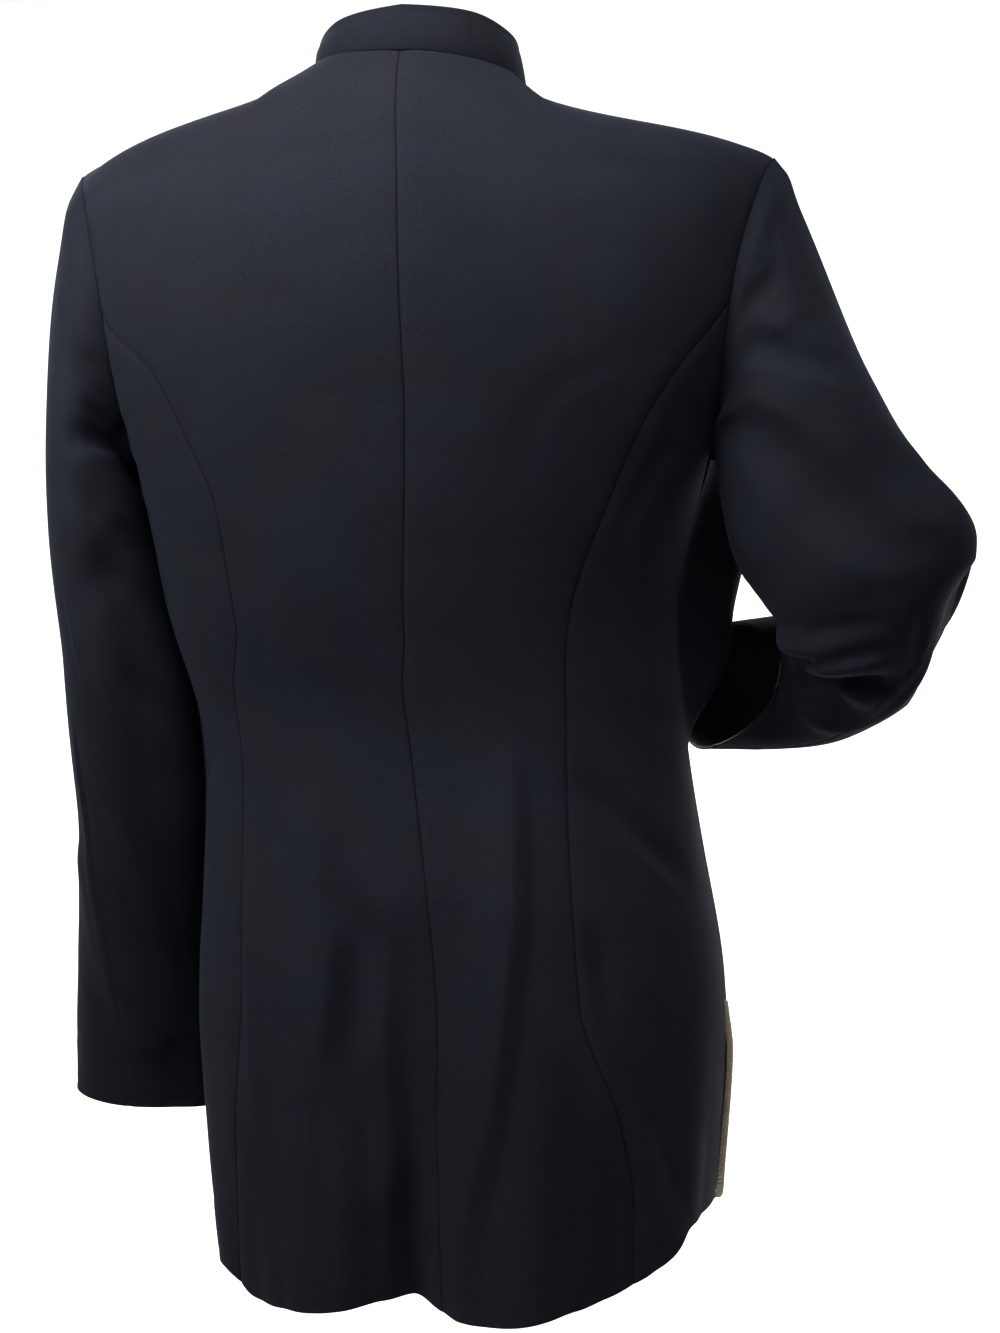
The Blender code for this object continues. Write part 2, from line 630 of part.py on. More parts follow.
def front_pieces():
    for side, word in ((1, "left"), (-1, "right")):

        def centre(level, side=side):
            return np.full_like(level, side * 1e-6)

        def princess(level, word=word):
            return seam_share("front_" + word, level)

        def edge(level, side=side):
            return np.full_like(level, float(side))

        cuts = (front_cut, seam_cut)
        grid = patch("front", centre, princess, centre_columns("front"), top_cut(LEVELS), cuts)
        body_piece("front_" + word, "front", grid)
        cuts = (seam_cut, front_slit_cut)
        grid = patch("front", princess, edge, CORNER_COLUMNS, side_levels(), cuts, rounded_corner)
        body_piece("side_front_" + word, "front", grid)
        cord_piece("cord_" + word, side)


def cord_route(side):
    """The cord's centre line: down the slit's front edge, round the corner and along the hem."""
    offset = CORD_RADIUS + CORD_GAP
    around = CORNER_RADIUS + offset
    hem = LEVELS[0]
    down = np.linspace(SLIT_TOP - SLIT_CORNER - CORD_GAP, hem + CORNER_RADIUS, DOWN_POINTS)
    bend = np.linspace(0, math.pi / 2, BEND_POINTS)[1:]
    level = np.concatenate([down, hem + CORNER_RADIUS - around * np.sin(bend)])
    away = np.concatenate([np.full(len(down), -offset), CORNER_RADIUS - around * np.cos(bend)])
    edge = np.full_like(level, float(side))
    edge = edge - side * front_slit_cut(level) * shares_per_metre("front", edge, level)
    share = edge - side * away * shares_per_metre("front", edge, level)
    along = np.linspace(share[-1], side * HEM_END, HEM_POINTS)[1:]
    share = np.concatenate([share, along])
    level = np.concatenate([level, np.full(len(along), hem - offset)])
    return body("front", share, level) + wall_direction("front", share, level) * WALL / 2


def cord_piece(name, side):
    curve = bpy.data.curves.new(name, "CURVE")
    curve.dimensions = "3D"
    curve.bevel_depth = CORD_RADIUS
    curve.bevel_resolution = CORD_SIDES
    curve.use_fill_caps = True
    route = cord_route(side)
    spline = curve.splines.new("POLY")
    spline.points.add(len(route) - 1)
    for point, place_at in zip(spline.points, route):
        point.co = (*place_at, 1.0)
    spline.use_smooth = True
    curve.materials.append(material(name, CORD_COLOUR, CORD_ROUGHNESS))
    thing = bpy.data.objects.new(name, curve)
    bpy.context.scene.collection.objects.link(thing)


def collar(angle, climb):
    """The band: climb is 0 at its seam and 1 at its top edge."""
    low = settle(neck_ring(angle)) + np.array([0.0, 0.0, SEAM_GAP])
    high = ring(angle, BAND_HALF_WIDTH, BAND_BACK, BAND_FRONT, "band_z")
    return low + (high - low) * climb[:, None]


def collar_piece():
    back = np.linspace(0, SHOULDER_TURN, NECK_STEPS + 1)
    front = np.linspace(SHOULDER_TURN, np.pi - COLLAR_FRONT_GAP / 2, NECK_STEPS + 1)
    half = np.concatenate([back, front[1:]])
    angle = np.concatenate([-half[:0:-1], half])
    climb = np.array(COLLAR_STEPS)
    angles = np.repeat(angle[None, :], len(climb), axis=0)
    climbs = np.repeat(climb[:, None], len(angle), axis=1)
    corner = smooth((np.pi - np.abs(angles)) / COLLAR_CORNER)
    outer = collar(angles.ravel(), (climbs * (1 - COLLAR_CORNER_DROP * (1 - corner))).ravel())
    axis = np.array([0.0, (NECK_BACK + NECK_FRONT) / 2, 0.0])
    inward = unit((axis - outer) * np.array([1.0, 1.0, 0.0]))
    points, faces = wall_mesh(outer, inward, COLLAR_WALL, angles.shape)
    place("collar", points, faces)


def armhole(side):
    """The armhole's edge from the shoulder tip down the back and up the front: points and wall directions."""
    levels = [level for level in LEVELS if level > UNDERARM - 1e-6]
    down = np.array(levels[::-1])
    up = np.array(levels[1:])
    share_back = np.full(len(down), float(side))
    share_front = np.full(len(up), float(side))
    points = np.concatenate([body("back", share_back, down), body("front", share_front, up)])
    walls = np.concatenate(
        [wall_direction("back", share_back, down), wall_direction("front", share_front, up)]
    )
    return points[:-1], walls[:-1]


def sleeve_frames(side, rows):
    """Each section's centre, the way along the arm, and its outer and back directions, without twist."""
    centres = np.stack([rows["x"], rows["y"], rows["z"]], axis=1)
    start = sided(ARMHOLE_MIDDLE, side)
    along = np.gradient(np.concatenate([start[None], centres]), axis=0)[1:]
    along = unit(along)
    outward = np.array([side * 1.0, 0.0, 0.0])
    outers = []
    for direction in along:
        outward = outward - (outward @ direction) * direction
        outward = outward / np.linalg.norm(outward)
        outers.append(outward)
    outers = np.array(outers)
    backs = np.cross(along, outers) * side * -1.0
    backs = backs * np.sign(backs[0][1])
    return centres, along, outers, backs


def sleeve_rings(side, rows, turn):
    """The sections' points: a row for each section, a column for each turn around it (0 out, 0.25 back)."""
    centres, along, outers, backs = sleeve_frames(side, rows)
    out, back = np.cos(2 * np.pi * turn), np.sin(2 * np.pi * turn)
    rings = (
        centres[:, None]
        + outers[:, None] * (rows["half_wide"][:, None] * out)[:, :, None]
        + backs[:, None] * (rows["half_deep"][:, None] * back)[:, :, None]
        - along[:, None] * ((rows["lag"] * rows["half_deep"])[:, None] * back)[:, :, None]
        + along[:, None] * ((rows["skew"] * rows["half_wide"])[:, None] * out)[:, :, None]
    )
    return rings


def sleeve_turns(points):
    """Turn values for the armhole's points by their share of its length, each half on its own."""
    half = len(points) // 2
    closed = np.concatenate([points, points[:1]])
    steps = np.linalg.norm(np.diff(closed, axis=0), axis=1)
    length = np.concatenate([[0.0], np.cumsum(steps)])
    first = 0.5 * length[: half + 1] / length[half]
    second = 0.5 + 0.5 * (length[half:] - length[half]) / (length[-1] - length[half])
    return np.concatenate([first, second[1:-1]])


def sleeve_surface(side, rows, edge, turn, along):
    """Points of a sleeve at each along value (a row) and each turn (a column)."""
    rings = sleeve_rings(side, rows, turn)
    knots = np.concatenate([[0.0], rows["along"]])
    values = np.concatenate([edge[None], rings])
    slopes = rising(knots, values) if side > 0 else flowing(knots, values)
    chord = rings[0] - edge
    reach = np.linalg.norm(chord, axis=1, keepdims=True) / rows["along"][0]
    under = (1 - np.cos(2 * np.pi * turn)) / 2
    drop = HEAD_DROP[side] * (1 - under) + UNDER_DROP * under
    spread = HEAD_SPREAD * np.sin(2 * np.pi * turn)
    leave = np.stack([np.full_like(turn, float(side)), spread, -drop], axis=1)
    slopes[0] = unit(leave) * reach
    return np.array([blend_rows(knots, values, slopes, np.full(len(turn), value)) for value in along])


def sleeve_piece(side, word, columns, folds):
    rows = table(SLEEVE_COLUMNS, columns)
    edge, wall = armhole(side)
    turn = sleeve_turns(edge)
    along = np.array(SLEEVE_STEPS)
    points = sleeve_surface(side, rows, edge, turn, along)
    nudge = 1e-3
    later = sleeve_surface(side, rows, edge, turn, np.clip(along + nudge, 0, 1))
    sooner = sleeve_surface(side, rows, edge, turn, np.clip(along - nudge, 0, 1))
    down = later - sooner
    around = np.roll(points, -1, axis=1) - np.roll(points, 1, axis=1)
    out = unit(np.cross(around, down))
    centre = points.mean(axis=1, keepdims=True)
    out = out * np.sign(((points - centre) * out).sum(axis=2).mean())
    rise = sleeve_rise(folds, turn, along)
    base = points + out * rise[:, :, None]
    base[0] = edge + unit(down[0]) * SEAM_GAP
    direction = -out
    direction[0] = wall
    shape = (len(along), len(turn))
    points, faces = wall_mesh(base.reshape(-1, 3), direction.reshape(-1, 3), WALL, shape, closed=True)
    place("sleeve_" + word, points, faces)


def sleeve_rise(folds, turn, along):
    """How far the folds push a sleeve out: a row for each along value, a column for each turn."""
    turns, alongs = np.meshgrid(turn, along)
    rise = np.zeros_like(turns)
    for row in folds:
        fold = dict(zip(SLEEVE_FOLD_COLUMNS, row))
        line = (
            (fold["turn_from"] * SLEEVE_GIRTH, fold["along_from"] * SLEEVE_LENGTH),
            (fold["turn_to"] * SLEEVE_GIRTH, fold["along_to"] * SLEEVE_LENGTH),
        )
        widths = (fold["half_width"], fold["rise_from"], fold["rise_to"])
        rise += ridge(turns * SLEEVE_GIRTH, alongs * SLEEVE_LENGTH, line, widths)
    return rise


def main():
    for thing in list(bpy.data.objects):
        bpy.data.objects.remove(thing, do_unlink=True)
    back_pieces()
    front_pieces()
    collar_piece()
    sleeve_piece(1, "left", LEFT_SLEEVE, LEFT_SLEEVE_FOLDS)
    sleeve_piece(-1, "right", RIGHT_SLEEVE, RIGHT_SLEEVE_FOLDS)


main()
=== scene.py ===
"""The looks of a long stand-collar jacket, hollow and held open as it is when worn.

Every cloth piece is a thin closed shell on the form of its solid: the same section tables and main folds, on
a fine grid, with the creases of wear, pressed seams and turned edges added. Lengths are in metres, +Z is up,
the back of the jacket faces +Y and the wearer's left is +X.
"""

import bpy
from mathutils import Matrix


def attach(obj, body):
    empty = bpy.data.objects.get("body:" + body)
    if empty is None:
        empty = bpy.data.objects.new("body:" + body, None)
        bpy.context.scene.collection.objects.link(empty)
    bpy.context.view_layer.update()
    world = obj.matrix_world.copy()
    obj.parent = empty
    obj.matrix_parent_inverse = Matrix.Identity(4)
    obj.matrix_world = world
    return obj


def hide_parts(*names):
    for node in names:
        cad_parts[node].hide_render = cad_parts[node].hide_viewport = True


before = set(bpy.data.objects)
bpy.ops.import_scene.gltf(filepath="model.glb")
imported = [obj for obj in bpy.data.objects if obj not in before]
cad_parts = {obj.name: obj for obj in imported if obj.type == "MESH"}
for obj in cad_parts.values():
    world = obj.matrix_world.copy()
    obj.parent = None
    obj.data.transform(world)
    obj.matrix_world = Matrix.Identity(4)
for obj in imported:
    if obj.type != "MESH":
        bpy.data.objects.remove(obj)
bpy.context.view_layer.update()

import logging
import math
from dataclasses import dataclass
from enum import Enum
from typing import Callable, Mapping, Sequence, Union

import bpy
import numpy as np
from mathutils import Matrix, Vector

Array = np.ndarray
Pair = tuple[float, float]
Triple = tuple[float, float, float]
Number = Union[float, "Term"]
Socket = bpy.types.NodeSocket
log = logging.getLogger("jacket")

MM = 0.001
CLOTH_UV = "cloth"
# Name of the point value that darkens the cloth's colour beside its seams: painted shade for the seam
# grooves.
SEAM_SHADE_LAYER = "seam"
SIDES = ((1, "left"), (-1, "right"))


# ---- Curves and surfaces ----


def smooth(x: Array) -> Array:
    """An easy step from 0 to 1: three x squared less two x cubed, held flat outside."""
    x = np.clip(x, 0.0, 1.0)
    return x * x * (3 - 2 * x)


def bell(x: Array) -> Array:
    """One less x squared, squared, and 0 outside."""
    return np.clip(1 - x**2, 0, None) ** 2


def hill(x: Array, centre: float, width: float) -> Array:
    """e to the power of less the square of the distance from the centre over the width."""
    return np.exp(-(((x - centre) / width) ** 2))


def unit(vectors: Array) -> Array:
    """The vectors divided by their lengths."""
    return vectors / np.maximum(np.linalg.norm(vectors, axis=-1, keepdims=True), 1e-12)


def upright_to(vectors: Array, ways: Array) -> Array:
    """The unit directions of vectors less their parts along unit directions."""
    return unit(vectors - (vectors * ways).sum(axis=1, keepdims=True) * ways)


def lengths(line: Array) -> Array:
    """How far along a line each of its points is."""
    return np.concatenate([[0.0], np.cumsum(np.linalg.norm(np.diff(line, axis=0), axis=1))])


def straight(at: Array, places: Array, line: Array) -> Array:
    """Points at wanted places of a line, straight between its own points at their places."""
    return np.stack([np.interp(at, places, line[:, axis]) for axis in range(3)], axis=1)


def cells(grid: Array) -> list[Array]:
    """The four corners of each cell of a grid, in order round it."""
    return [grid[:-1, :-1], grid[:-1, 1:], grid[1:, 1:], grid[1:, :-1]]


def cell_rows(grid: Array) -> Array:
    """The corners of a grid's cells, a row for each cell."""
    return np.stack(cells(grid), axis=2).reshape((-1, 4) + grid.shape[2:])


def looped(grid: Array) -> Array:
    """A grid with its first column again after its last."""
    return np.concatenate([grid, grid[:, :1]], axis=1)


def secants(knots: Array, values: Array) -> tuple[Array, Array]:
    """The steps between knots, and the slopes of the straight lines between their rows."""
    step = np.diff(knots).reshape((-1,) + (1,) * (values.ndim - 1))
    return step, np.diff(values, axis=0) / step


def rising(knots: Array, values: Array) -> Array:
    """Slopes of a cubic through rows of values that never swings past them.

    Where the steps before and after a row have the same sign the slope is their weighted harmonic mean, and
    where they differ it is zero.

    Args:
        knots: The rising places of the rows.
        values: One row for each knot.

    Returns:
        A slope for each value.
    """
    step, secant = secants(knots, values)
    before, after = secant[:-1], secant[1:]
    wide, narrow = 2 * step[1:] + step[:-1], step[1:] + 2 * step[:-1]
    same = before * after > 0
    spread = wide / np.where(same, before, 1.0) + narrow / np.where(same, after, 1.0)
    return np.concatenate([secant[:1], np.where(same, (wide + narrow) / spread, 0.0), secant[-1:]])


def flowing(knots: Array, values: Array) -> Array:
    """Slopes of a cubic that leans as its neighbours lie: the steps' mean, the shorter step counting more.

    Args:
        knots: The rising places of the rows.
        values: One row for each knot.

    Returns:
        A slope for each value.
    """
    step, secant = secants(knots, values)
    middle = (secant[:-1] * step[1:] + secant[1:] * step[:-1]) / (step[1:] + step[:-1])
    return np.concatenate([secant[:1], middle, secant[-1:]])


def cubic(knots: Array, values: Array, slopes: Array, at: Array, column: Array) -> Array:
    """Points of cubic curves, each through one column of the rows.

    Between two knots, with t running from 0 to 1, the curve is the start and end values and slopes blended by
    the four cubics of Hermite.

    Args:
        knots: The rising places of the rows.
        values: Rows by columns by 3.
        slopes: The slope of each value.
        at: A place for each wanted point.
        column: The column of each wanted point.

    Returns:
        The points, one row each.
    """
    index = np.clip(np.searchsorted(knots, at, side="right") - 1, 0, len(knots) - 2)
    step = (knots[index + 1] - knots[index])[:, None]
    t = (at - knots[index])[:, None] / step
    start, end = values[index, column], values[index + 1, column]
    leave, arrive = slopes[index, column] * step, slopes[index + 1, column] * step
    return (
        start * (1 + 2 * t) * (1 - t) ** 2
        + leave * t * (1 - t) ** 2
        + end * t**2 * (3 - 2 * t)
        + arrive * t**2 * (t - 1)
    )


def curve_through(knots: Sequence[float], values: Sequence[float], at: Array) -> Array:
    """A smooth curve of one number through the knots, held at its end values outside them.

    Args:
        knots: Places, in any order.
        values: The number at each place.
        at: Where it is wanted.

    Returns:
        The number at each wanted place.
    """
    order = np.argsort(knots)
    places, rows = np.array(knots)[order], np.array(values, float)[order][:, None, None]
    at = np.clip(at, places[0], places[-1])
    return cubic(places, rows, rising(places, rows), at, np.zeros(len(at), int))[:, 0]


def graded(start: float, end: float, count: int, band: Sequence[float]) -> Array:
    """Places from start to end, close together at both ends.

    Args:
        start, end: The first and last place.
        count: Even steps between the two bands.
        band: Distances from an end, rising from 0.

    Returns:
        The rising places.
    """
    near, far = start + np.array(band), end - np.array(band)[::-1]
    return np.concatenate([near, np.linspace(near[-1], far[0], count + 1)[1:-1], far])


# ---- Creases ----

# Straight steps between two places of a crease.
PATH_STEPS = 6
# The long waves of worn cloth: the length of each and its share of the depth.
WAVES = ((0.190, 0.40), (0.118, 0.26), (0.074, 0.20), (0.047, 0.14))


@dataclass(frozen=True)
class Crease:
    """A soft ridge or trough pressed or worn into the cloth, uneven along its length.

    Attributes:
        reach: How far it spreads to the left and to the right of its path, in millimetres.
        path: The places it passes through: the cloth's two measures, and its rise in millimetres.
        crisp: 0 for a round top, up to 1 for a folded edge.
    """

    reach: Pair
    path: tuple[Triple, ...]
    crisp: float = 0.0

    def height(self, u: Array, v: Array, scale: Pair) -> Array:
        """How far the crease lifts the cloth, in metres.

        The path is a smooth curve through its places. With q the distance from it as a share of the reach on
        that side, the lift is the rise times one less q squared, squared, mixed with one less q, squared.

        Args:
            u, v: The two measures of each point.
            scale: Metres of cloth in one of each measure.

        Returns:
            The lift of each point.
        """
        rows = np.array(self.path, float)
        knots = np.linspace(0, 1, len(rows))
        fine = np.linspace(0, 1, PATH_STEPS * (len(rows) - 1) + 1)
        marks = rows[:, :2] * np.array(scale)
        line = np.stack([curve_through(knots, marks[:, axis], fine) for axis in (0, 1)], axis=1)
        rise = curve_through(knots, rows[:, 2], fine)
        points = np.stack([u * scale[0], v * scale[1]], axis=1)
        nearest = np.full(len(u), np.inf)
        side, lift = np.zeros(len(u)), np.zeros(len(u))
        for start, end, rise_start, rise_end in zip(line[:-1], line[1:], rise[:-1], rise[1:]):
            run = end - start
            away = points - start
            along = np.clip(away @ run / max(run @ run, 1e-12), 0, 1)
            gap = np.hypot(*(away - along[:, None] * run).T)
            closer = gap < nearest
            nearest = np.where(closer, gap, nearest)
            side = np.where(closer, np.sign(run[0] * away[:, 1] - run[1] * away[:, 0]), side)
            lift = np.where(closer, rise_start + (rise_end - rise_start) * along, lift)
        q = np.clip(nearest / (np.where(side > 0, *self.reach) * MM), 0, 1)
        return lift * ((1 - self.crisp) * bell(q) + self.crisp * (1 - q) ** 2) * MM


def lifted(creases: Sequence[Crease], u: Array, v: Array, scale: Pair) -> Array:
    """The lift of several creases together.

    Args:
        creases: The creases.
        u, v: The two measures of each point.
        scale: Metres of cloth in one of each measure.

    Returns:
        The lift of each point, in metres.
    """
    total = np.zeros(len(u))
    for crease in creases:
        total += crease.height(u, v, scale)
    return total


def unevenness(u: Array, v: Array, depth: float, seed: float) -> Array:
    """The slight unevenness of cloth that has been worn: a few long waves crossing at odd angles.

    Args:
        u, v: The two measures of each point, in metres.
        depth: Its depth in metres.
        seed: Turns and shifts the waves.

    Returns:
        The lift of each point.
    """
    total = np.zeros_like(u)
    for index, (length, share) in enumerate(WAVES):
        angle = seed + 2.4 * index
        phase = 5.1 * seed * (index + 1)
        ahead = u * math.cos(angle) + v * math.sin(angle)
        aside = v * math.cos(angle + 0.9) - u * math.sin(angle + 0.9)
        bend = 0.6 * np.sin(2 * math.pi * aside / (1.7 * length) + phase)
        total += share * np.sin(2 * math.pi * ahead / length + phase + bend)
    return depth * total


# ---- Finishes ----

# The colour sockets of a Mix node, whose names repeat.
MIX_FIRST, MIX_SECOND, MIX_RESULT = 6, 7, 2


def operator(kind: str, last: bool = False) -> Callable[["Term", Number], "Term"]:
    """A method that adds one Math node, with the term first, or last where last is true.

    Args:
        kind: The node's operation.
        last: Whether the term comes last.

    Returns:
        The method.
    """

    def method(self: "Term", other: Number) -> "Term":
        """The result of the node."""
        return self.math(kind, other, self) if last else self.math(kind, self, other)

    return method


class Term:
    """A number that a shader works out, on which Python arithmetic adds Math nodes."""

    def __init__(self, nodes: "Nodes", socket: Socket) -> None:
        """Keeps the node tree and the output socket."""
        self.nodes = nodes
        self.socket = socket

    def math(self, kind: str, *values: Number) -> "Term":
        """The result of one Math node."""
        node = self.nodes.add("ShaderNodeMath", {"operation": kind}, dict(enumerate(values)))
        return Term(self.nodes, node.outputs[0])

    __add__, __radd__ = operator("ADD"), operator("ADD", last=True)
    __sub__, __rsub__ = operator("SUBTRACT"), operator("SUBTRACT", last=True)
    __mul__, __rmul__ = operator("MULTIPLY"), operator("MULTIPLY", last=True)

    def wave(self) -> "Term":
        """Half its sine and a half, from 0 to 1."""
        return self.math("SINE", self) * 0.5 + 0.5

    def held(self) -> "Term":
        """The value kept between 0 and 1."""
        return self.math("MINIMUM", self.math("MAXIMUM", self, 0.0), 1.0)


@dataclass(frozen=True)
class Grain:
    """One smooth noise in the cloth.

    Attributes:
        scale, detail: Grains a unit, and finer layers in it.
        share: How much it counts.
        stretch: A factor on each of the cloth's measures first, so that it can run in threads.
    """

    scale: float
    detail: float
    share: float = 1.0
    stretch: Pair = (1.0, 1.0)


class Nodes:
    """A material's node tree, with one way to add a node."""

    def __init__(self, name: str) -> None:
        """Makes a new material with only its Principled shader and output."""
        self.material = bpy.data.materials.new(name)
        self.material.use_nodes = True
        self.tree = self.material.node_tree
        self.shader = self.tree.nodes["Principled BSDF"]

    def _plug(self, target: Socket, value: object) -> None:
        """Sets a socket to a constant, or links it to a Term or another socket."""
        value = value.socket if isinstance(value, Term) else value
        if isinstance(value, Socket):
            self.tree.links.new(value, target)
        else:
            target.default_value = (*value, 1.0) if target.type == "RGBA" else value

    def add(self, kind: str, settings: Mapping[str, object], inputs: Mapping) -> bpy.types.Node:
        """Adds a node: its settings are made first, then its sockets.

        Args:
            kind: The node's type.
            settings: Its properties by name.
            inputs: Constants, Terms or sockets by the name or number of the input.

        Returns:
            The node.
        """
        node = self.tree.nodes.new(kind)
        for name, value in settings.items():
            setattr(node, name, value)
        for name, value in inputs.items():
            self._plug(node.inputs[name], value)
        return node

    def surface(self, **inputs: object) -> bpy.types.Material:
        """Sets the shader's sockets, an underscore in a name standing for a space, and gives the material."""
        for name, value in inputs.items():
            self._plug(self.shader.inputs[name.replace("_", " ")], value)
        return self.material

    def uv(self, stretch: Pair = (1.0, 1.0)) -> Socket:
        """The piece's own cloth measures, in metres, each stretched by a factor."""
        place = self.add("ShaderNodeUVMap", {"uv_map": CLOTH_UV}, {})
        inputs = {"Vector": place.outputs["UV"], "Scale": (*stretch, 1.0)}
        return self.add("ShaderNodeMapping", {"vector_type": "POINT"}, inputs).outputs["Vector"]

    def measures(self) -> tuple[Term, Term]:
        """The cloth's two measures apart."""
        node = self.add("ShaderNodeSeparateXYZ", {}, {"Vector": self.uv()})
        return Term(self, node.outputs["X"]), Term(self, node.outputs["Y"])

    def noise(self, grain: Grain, place: Union[Socket, None] = None) -> Term:
        """Smooth noise of about 0 to 1, on the cloth's measures or at another place."""
        vector = self.uv(grain.stretch) if place is None else place
        inputs = {"Vector": vector, "Scale": grain.scale, "Detail": grain.detail, "Roughness": 0.55}
        return Term(self, self.add("ShaderNodeTexNoise", {"noise_dimensions": "3D"}, inputs).outputs["Fac"])

    def mix(self, share: Number, first: object, second: object) -> Socket:
        """A colour between two, each fixed or worked out."""
        inputs = {"Factor": share, MIX_FIRST: first, MIX_SECOND: second}
        return self.add("ShaderNodeMix", {"data_type": "RGBA"}, inputs).outputs[MIX_RESULT]

    def point_value(self, name: str) -> Term:
        """A number kept on the mesh's points."""
        return Term(self, self.add("ShaderNodeAttribute", {"attribute_name": name}, {}).outputs["Fac"])

    def bump(self, height: Number, depth: float, strength: float) -> Socket:
        """A normal that follows a height of 0 to 1, so many metres deep."""
        inputs = {"Height": height, "Distance": depth, "Strength": strength}
        return self.add("ShaderNodeBump", {}, inputs).outputs["Normal"]


@dataclass(frozen=True)
class Suiting:
    """Fine matt worsted in a steep twill, near black with a little blue.

    Attributes:
        dark, light: The colours in the hollows of the weave and on its ribs.
        warm_dark, warm_light: The same where the dye is browner.
        painted_seam_shade: Painted shade, the colour deep in a seam where its groove lies in shade.
        pitch: From one rib of the twill to the next.
        slant: How much of a rib's turn goes with each measure.
        ribs: How much the ribs count in the tone.
        grains: Slubs, cross threads, heather, clouds and patches in the tone.
        base: What is taken off the tone.
        dye, dye_base, dye_most: Where the dye is browner, what is taken off that, and its most.
        painted_shade_most: How dark the painted shade in a seam is at its deepest.
        relief, strength: How deep the weave is, and how much of it shows.
        rough, sheen: How matt it is, and the light caught by the wool's fine nap.
    """

    dark: Triple = (0.0056, 0.0069, 0.0107)
    light: Triple = (0.0146, 0.0171, 0.0256)
    warm_dark: Triple = (0.0067, 0.0071, 0.0094)
    warm_light: Triple = (0.0167, 0.0173, 0.0222)
    painted_seam_shade: Triple = (0.0008, 0.0009, 0.0012)
    pitch: float = 0.00062
    slant: Pair = (0.86, 0.50)
    ribs: float = 0.24
    grains: tuple[Grain, ...] = (
        Grain(1900.0, 2.0, 0.34, (1.0, 0.22)),
        Grain(1500.0, 2.0, 0.22, (0.25, 1.0)),
        Grain(620.0, 3.0, 1.50),
        Grain(26.0, 4.0, 0.50),
        Grain(7.0, 2.0, 0.55),
    )
    base: float = 1.22
    dye: Grain = Grain(17.0, 3.0, 3.6)
    dye_base: float = 1.40
    dye_most: float = 0.85
    painted_shade_most: float = 0.88
    relief: float = 0.16 * MM
    strength: float = 0.55
    rough: float = 0.80
    sheen: float = 0.04

    def make(self, name: str) -> bpy.types.Material:
        """The material under this name.

        Args:
            name: The name.

        Returns:
            The material.
        """
        nodes = Nodes(name)
        turns = [part * (2 * math.pi / self.pitch * lean) for part, lean in zip(nodes.measures(), self.slant)]
        rib = (turns[0] + turns[1]).wave()
        noises = [nodes.noise(grain) for grain in self.grains]
        tone = rib * self.ribs
        for noise, grain in zip(noises, self.grains):
            tone = tone + noise * grain.share
        tone = (tone - self.base).held()
        slub, thread, _, cloud, _ = noises
        plain = nodes.mix(tone, self.dark, self.light)
        warm = nodes.mix(tone, self.warm_dark, self.warm_light)
        dye = (nodes.noise(self.dye) * self.dye.share - self.dye_base).held() * self.dye_most
        # Painted shade: the base colour is darkened toward the seams, for the shade in their grooves.
        seam = nodes.point_value(SEAM_SHADE_LAYER) * self.painted_shade_most
        return nodes.surface(
            Base_Color=nodes.mix(seam, nodes.mix(dye, plain, warm), self.painted_seam_shade),
            Roughness=self.rough + (cloud - 0.5) * 0.14 + (rib - 0.5) * 0.06,
            Normal=nodes.bump(rib * 0.5 + slub * 0.3 + thread * 0.2, self.relief, self.strength),
            Sheen_Weight=self.sheen,
            Sheen_Roughness=0.42,
            Sheen_Tint=(0.60, 0.70, 1.0),
            Specular_IOR_Level=0.07,
        )


@dataclass(frozen=True)
class InsideFace:
    """The jacket's dark, slightly glossy inside.

    Attributes:
        colour, brighter: Its colour, and the factor on it along its rows.
        rough: How matt it is.
    """

    colour: Triple = (0.0050, 0.0055, 0.0075)
    brighter: float = 2.1
    rough: float = 0.46

    def make(self, name: str) -> bpy.types.Material:
        """The material under this name.

        Args:
            name: The name.

        Returns:
            The material.
        """
        nodes = Nodes(name)
        rows, cloud = nodes.noise(Grain(1400.0, 2.0, stretch=(0.20, 1.0))), nodes.noise(Grain(30.0, 3.0))
        lit = tuple(part * self.brighter for part in self.colour)
        return nodes.surface(
            Base_Color=nodes.mix((rows * 0.6 + cloud * 0.4).held(), self.colour, lit),
            Roughness=self.rough + (cloud - 0.5) * 0.2,
            Normal=nodes.bump(rows, 0.00008, 0.4),
            Specular_IOR_Level=0.40,
        )


@dataclass(frozen=True)
class GoldTwist:
    """Pale gold thread, many fine filaments twisted in each strand.

    Attributes:
        dark, light: The colours between filaments and on them.
        filaments: How many show round a strand.
        lean: The length of strand in which they move round by one.
        rough: How matt it is.
    """

    dark: Triple = (0.30, 0.235, 0.125)
    light: Triple = (0.66, 0.585, 0.415)
    filaments: int = 9
    lean: float = 0.0021
    rough: float = 0.46

    def make(self, name: str) -> bpy.types.Material:
        """The material under this name.

        Args:
            name: The name.

        Returns:
            The material.
        """
        nodes = Nodes(name)
        around, along = nodes.measures()
        filament = (around * (2 * math.pi * self.filaments) + along * (2 * math.pi / self.lean)).wave()
        cloud = nodes.noise(Grain(160.0, 3.0, stretch=(0.002, 1.0)))
        return nodes.surface(
            Base_Color=nodes.mix((filament * 0.62 + cloud * 0.5 - 0.05).held(), self.dark, self.light),
            Roughness=self.rough + (cloud - 0.5) * 0.2,
            Normal=nodes.bump(filament, 0.00012, 0.7),
            Metallic=0.12,
            Sheen_Weight=0.25,
            Sheen_Roughness=0.35,
            Specular_IOR_Level=0.55,
        )


